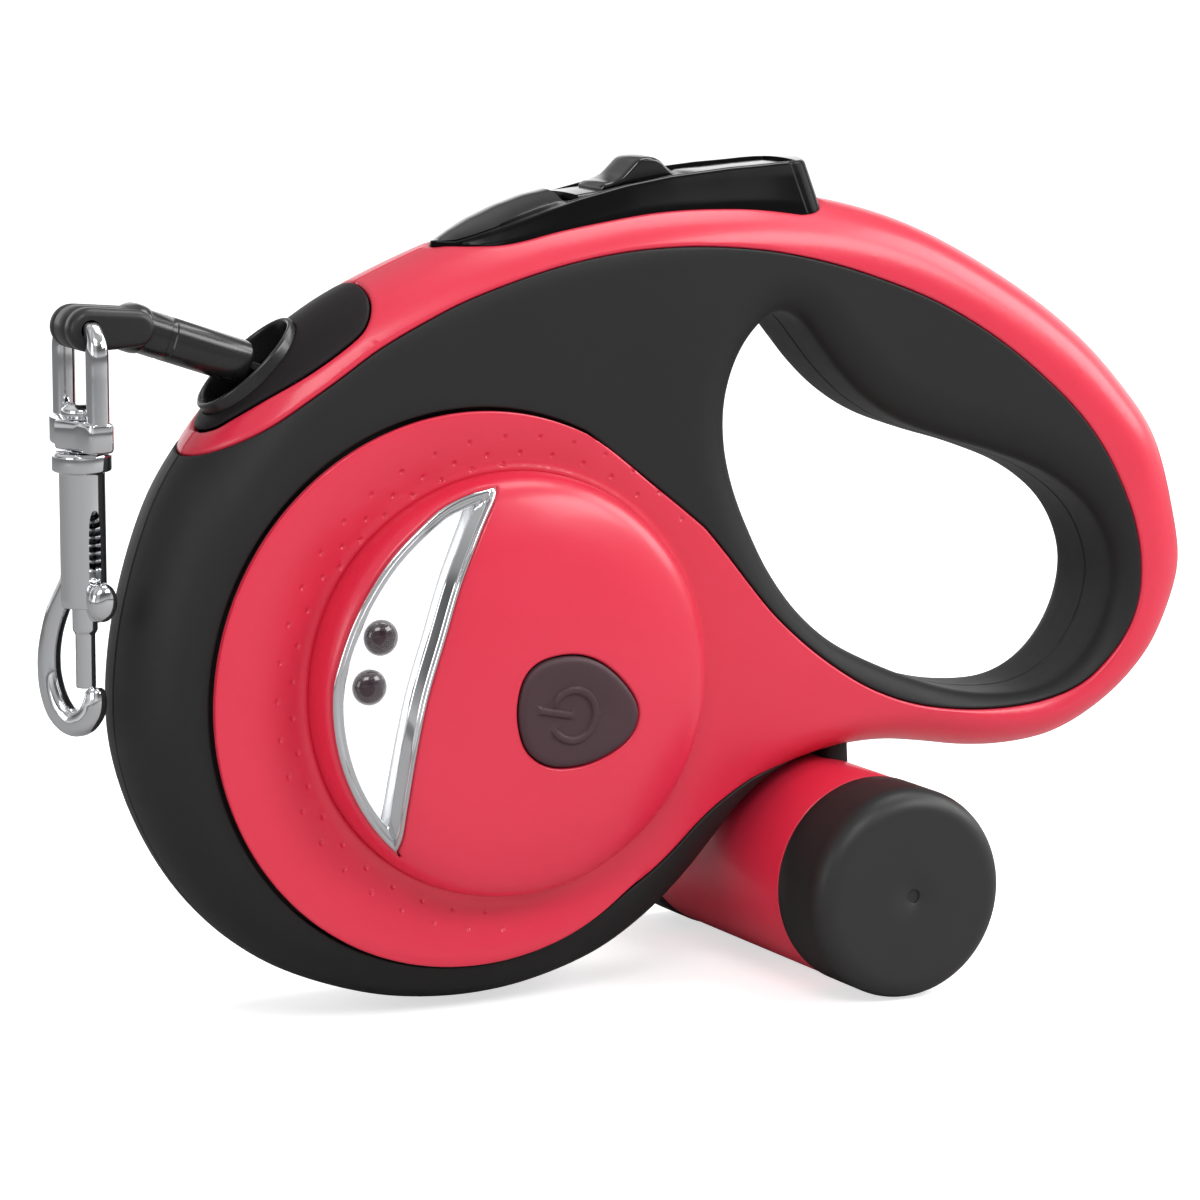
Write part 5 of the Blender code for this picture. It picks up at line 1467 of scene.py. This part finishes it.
show(bail(), "bail", "chrome", "swivel_bail")
show(swivelled(hook()), "hook", "chrome", "hook_body")
show(swivelled(hook_wire(), degrees=34), "hook", "chrome")
show(swivelled(bolt()), "bolt", "chrome", "hook_bolt")

SPRING_TOP = 36.6
bolt_spring = swivelled(spring("bolt_spring_coil", (HOOK_X, HOOK_Y - 0.2, 24.4),
                               (HOOK_X, HOOK_Y - 0.2, SPRING_TOP),
                               radius=1.75, turns=9, wire=0.34))
show(bolt_spring, "hook", "steel", "bolt_spring")
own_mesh(bolt_spring)
button_spring = spring("button_return_coil", (60.0, 0.0, 78.75), (60.0, 0.0, 84.2),
                       radius=2.3, turns=5, wire=0.3)
show(button_spring, "case", "steel", "button_spring")
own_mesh(button_spring)

# ---------------------------------------------------------------- bag dispenser
TUBE_X, TUBE_Z = 75.0, -39.4
TUBE_C = (TUBE_X, 0, TUBE_Z)
TUBE_R, TUBE_BORE, TUBE_HALF = 18.7, 17.3, 26.0
CAP_R, CAP_FACE, CAP_BORE = 18.9, 42.0, 15.6
SLOT_ANGLE = math.radians(-52)           # slot in the tube, down towards the tail
SCREW_X, SCREW_Y = 79.5, 5.2             # the two rounded ends of the saddle


def cap(name, side):
    profile = [(0, CAP_FACE - 0.6), (0.95, CAP_FACE - 0.6), (1.15, CAP_FACE - 0.5),
               (1.25, CAP_FACE - 0.12)]
    profile += [(radius, CAP_FACE) for radius in (1.4, 6, 10, 13.0, 14.6)]
    profile += [(CAP_R - 4.0 + 4.0 * math.sin(a), CAP_FACE - 4.2 + 4.2 * math.cos(a))
                for a in np.linspace(0.1, math.pi / 2, 14)]
    profile += [(CAP_R, 36.0), (CAP_R, 30.0), (CAP_R, 26.7), (18.75, 26.45), (18.5, 26.35),
                (17.0, 26.35), (17.0, 21.0), (CAP_BORE, 21.0), (CAP_BORE, 39.6), (0, 39.9)]
    return lofted(name, turned(profile, TUBE_C, (0, side, 0), 128), CAP_BLACK, 40, ring=True)


def slot_point(radius, y, across):
    """A point in the slot's plane, moved sideways by across."""
    cos, sin = math.cos(SLOT_ANGLE), math.sin(SLOT_ANGLE)
    return (TUBE_X + cos * radius - sin * across, y, TUBE_Z + sin * radius + cos * across)


def tube_piece():
    """The bag tube as a shell with a slot along it."""
    profile = round_profile([(TUBE_BORE, -TUBE_HALF), (TUBE_R, -TUBE_HALF),
                             (TUBE_R, TUBE_HALF), (TUBE_BORE, TUBE_HALF)], 0.3)
    rows = turned(profile, TUBE_C, (0, 1, 0), 160)
    tube = lofted("dispenser_tube_shell", rows, RED, 40, ring=True)
    slot = [[slot_point(radius, 18.0 * squared(math.sin(a), 0.25),
                        1.8 * squared(math.cos(a), 0.6)) for a in turn(48)]
            for radius in (14.0, 23.0)]
    return cut_with(tube, lofted("work_slot2", slot, RED))


def saddle():
    """A long rounded web from the tube up into the tail, slightly waisted."""
    radius, top = 2.7, -13.9
    ring = np.array([(SCREW_X + radius * math.cos(a),
                      (SCREW_Y if math.sin(a) > 0 else -SCREW_Y) + radius * math.sin(a))
                     for a in turn(96)])
    base = TUBE_Z + np.sqrt(np.maximum((TUBE_R + 0.02) ** 2 - (ring[:, 0] - TUBE_X) ** 2, 0))
    out = ring - np.stack([np.full(len(ring), SCREW_X), np.sign(ring[:, 1]) * SCREW_Y], 1)
    out /= np.linalg.norm(out, axis=1, keepdims=True)
    # (share of the height, offset outwards)
    stations = ((0.0, 0.0), (0.03, 0.0), (0.3, -0.12), (0.5, -0.18), (0.7, -0.12),
                (0.97, 0.0), (1.0, 0.0))
    rows = [at_z(ring + out * offset, base + (top - base) * t) for t, offset in stations]
    return lofted("dispenser_saddle_web", rows, BLACK, 40)


def bag_tail():
    """The loose end of film hanging out of the slot, wavier further out."""
    half_film = 0.12
    rows = []
    for k in range(40):
        radius = 13.7 + 8.6 * k / 39
        loose = ease((radius - 17.5) / 4.0)
        ring = []
        for face in (1, -1):
            for y in np.linspace(-15, 15, 41)[::face]:
                wave = loose * (0.5 * math.sin(y * 0.75) + 0.25 * math.sin(y * 1.9 + 1))
                ring.append(slot_point(radius, y, wave + face * half_film))
        rows.append(ring)
    return lofted("bag_tail_film", rows, FILM, 60)


show(cap("near_cap_cover", -1), "dispenser_cap", "black_plastic", "near_cap")
show(cap("far_cap_cover", 1), "case", "black_plastic", "far_cap")
show(tube_piece(), "case", "red_plastic", "dispenser_tube")
show(saddle(), "case", "black_plastic", "dispenser_saddle")
show(bag_tail(), "case", "bag_film", "bag_tail")


# ---------------------------------------------------------------- camera and floor
def add_camera(azimuth, elevation, place):
    """A long lens, turned by azimuth and looking down by elevation."""
    right = Vector((math.cos(azimuth), math.sin(azimuth), 0))
    up = Vector((-math.sin(azimuth) * math.sin(elevation),
                 math.cos(azimuth) * math.sin(elevation), math.cos(elevation)))
    data = bpy.data.cameras.new("camera")
    data.lens = 150.0
    data.sensor_width = 36.0
    data.clip_end = 20.0
    camera = bpy.data.objects.new("camera", data)
    bpy.context.scene.collection.objects.link(camera)
    axes = (right, up, right.cross(up), place)
    camera.matrix_world = Matrix([[axis[k] for axis in axes] for k in range(3)]
                                 + [[0, 0, 0, 1]])
    bpy.context.scene.camera = camera


def floor_material():
    """Pale and glowing to the camera, dull grey in reflections."""
    mat, tree, shader = new_material("pale_floor")
    fill(tree, shader, {"Base Color": (0.86, 0.86, 0.86, 1), "Roughness": 0.7})
    plain = shader.outputs[0]
    glow = add_node(tree, "Emission", {"Strength": 0.62})
    bright = add_node(tree, "AddShader", {0: plain, 1: glow.outputs[0]})
    final = add_node(tree, "MixShader")
    rays = add_node(tree, "LightPath").outputs
    dull = add_node(tree, "BsdfDiffuse", {"Color": (0.36, 0.36, 0.36, 1)})
    unseen = add_node(tree, "MixShader",
                      {"Fac": rays["Is Glossy Ray"], 1: plain, 2: dull.outputs[0]})
    fill(tree, final, {"Fac": rays["Is Camera Ray"], 1: unseen.outputs[0],
                       2: bright.outputs[0]})
    fill(tree, tree.nodes["Material Output"], {"Surface": final.outputs[0]})
    return mat


def add_floor(half=6.0, z=-0.0002):
    mesh = bpy.data.meshes.new("floor")
    corners = [(-half, -half, z), (half, -half, z), (half, half, z), (-half, half, z)]
    mesh.from_pydata(corners, [], [(0, 1, 2, 3)])
    floor = bpy.data.objects.new("floor", mesh)
    bpy.context.scene.collection.objects.link(floor)
    mesh.materials.append(floor_material())


add_camera(azimuth=math.radians(-27.3), elevation=math.radians(9.3),
           place=world((-370.28, -783.75, 155.08)))
add_floor()

# ---------------------------------------------------------------- world
# grey levels seen in reflections, as (position, level)
STRIPS = [(0.0, 0.9), (0.05, 0.15), (0.11, 0.12), (0.15, 1.0), (0.21, 1.0), (0.26, 0.1),
          (0.38, 0.08), (0.44, 0.75), (0.5, 0.8), (0.55, 0.1), (0.68, 0.1), (0.75, 0.9),
          (0.85, 0.95), (0.9, 0.12), (1.0, 0.9)]                      # once round
BANDS = [(0.0, 0.85), (0.10, 0.5), (0.22, 0.16), (0.42, 0.12), (0.6, 0.5), (0.8, 0.7),
         (1.0, 0.6)]                                                  # horizon to zenith
PATCH_ROUND = [(0.52, 0.0), (0.6, 1.0), (0.76, 1.0), (0.84, 0.0)]     # one bright patch
PATCH_UP = [(0.0, 1.0), (0.26, 1.0), (0.42, 0.0)]


def build_world():
    """Even light, a striped studio in reflections and white to the camera."""
    studio = bpy.data.worlds.new("studio")
    bpy.context.scene.world = studio
    studio.use_nodes = True
    tree = studio.node_tree

    def combine(operation, a, b):
        return add_node(tree, "Math", {0: a, 1: b}, operation=operation).outputs[0]

    def levels(factor, stops):
        node = add_node(tree, "ValToRGB", {"Fac": factor})
        node.color_ramp.interpolation = "EASE"
        elements = node.color_ramp.elements
        for element, (position, level) in zip(elements, (stops[0], stops[-1])):
            element.position, element.color = position, (level, level, level, 1)
        for position, level in stops[1:-1]:
            elements.new(position).color = (level, level, level, 1)
        return node.outputs["Color"]

    coords = add_node(tree, "TexCoord")
    x, y, z = add_node(tree, "SeparateXYZ", {0: coords.outputs["Generated"]}).outputs
    angle = combine("DIVIDE", combine("ARCTAN2", y, x), 2 * math.pi)
    round_ = combine("ADD", angle, 0.5)
    strips, bands = levels(round_, STRIPS), levels(z, BANDS)
    patch = combine("MULTIPLY", levels(round_, PATCH_ROUND), levels(z, PATCH_UP))
    stripes = combine("ADD", combine("MULTIPLY", bands, 0.65),
                      combine("MULTIPLY", strips, 0.35))
    glossy = combine("ADD", stripes, combine("MULTIPLY", patch, 1.2))
    rays = add_node(tree, "LightPath").outputs
    unseen = add_node(tree, "Mix", {"Factor": rays["Is Glossy Ray"], "A": 0.46, "B": glossy})
    seen = add_node(tree, "Mix", {"Factor": rays["Is Camera Ray"],
                                  "A": unseen.outputs["Result"], "B": 1.05})
    fill(tree, tree.nodes["Background"],
         {"Color": (1, 1, 1, 1), "Strength": seen.outputs["Result"]})


build_world()


# ---------------------------------------------------------------- lights
def add_area(name, place, target, size, power):
    """A rectangular light of size (across, up) aimed at target, in metres and watts."""
    data = bpy.data.lights.new(name, "AREA")
    data.energy = power
    data.shape = "RECTANGLE"
    data.size, data.size_y = size
    light = bpy.data.objects.new(name, data)
    bpy.context.scene.collection.objects.link(light)
    light.location = Vector(place)
    aim = Vector(target) - Vector(place)
    light.rotation_euler = aim.to_track_quat("-Z", "Y").to_euler()


add_area("key", (-0.3, -0.75, 0.85), target=(0, 0, 0.07), size=(0.5, 0.35), power=3.6)
add_area("side", (-0.95, -0.3, 0.35), target=(0, 0, 0.07), size=(0.45, 0.45), power=2.0)
add_area("right", (0.9, -0.1, 0.55), target=(0, 0, 0.08), size=(0.45, 0.6), power=4.2)
add_area("front", (0.62, -0.6, 0.62), target=(0, 0, 0.08), size=(0.5, 0.34), power=4.0)
add_area("top", (0.35, 0.05, 1.0), target=(0, 0, 0.1), size=(0.55, 0.5), power=4.0)
bpy.context.scene.view_settings.view_transform = "Standard"
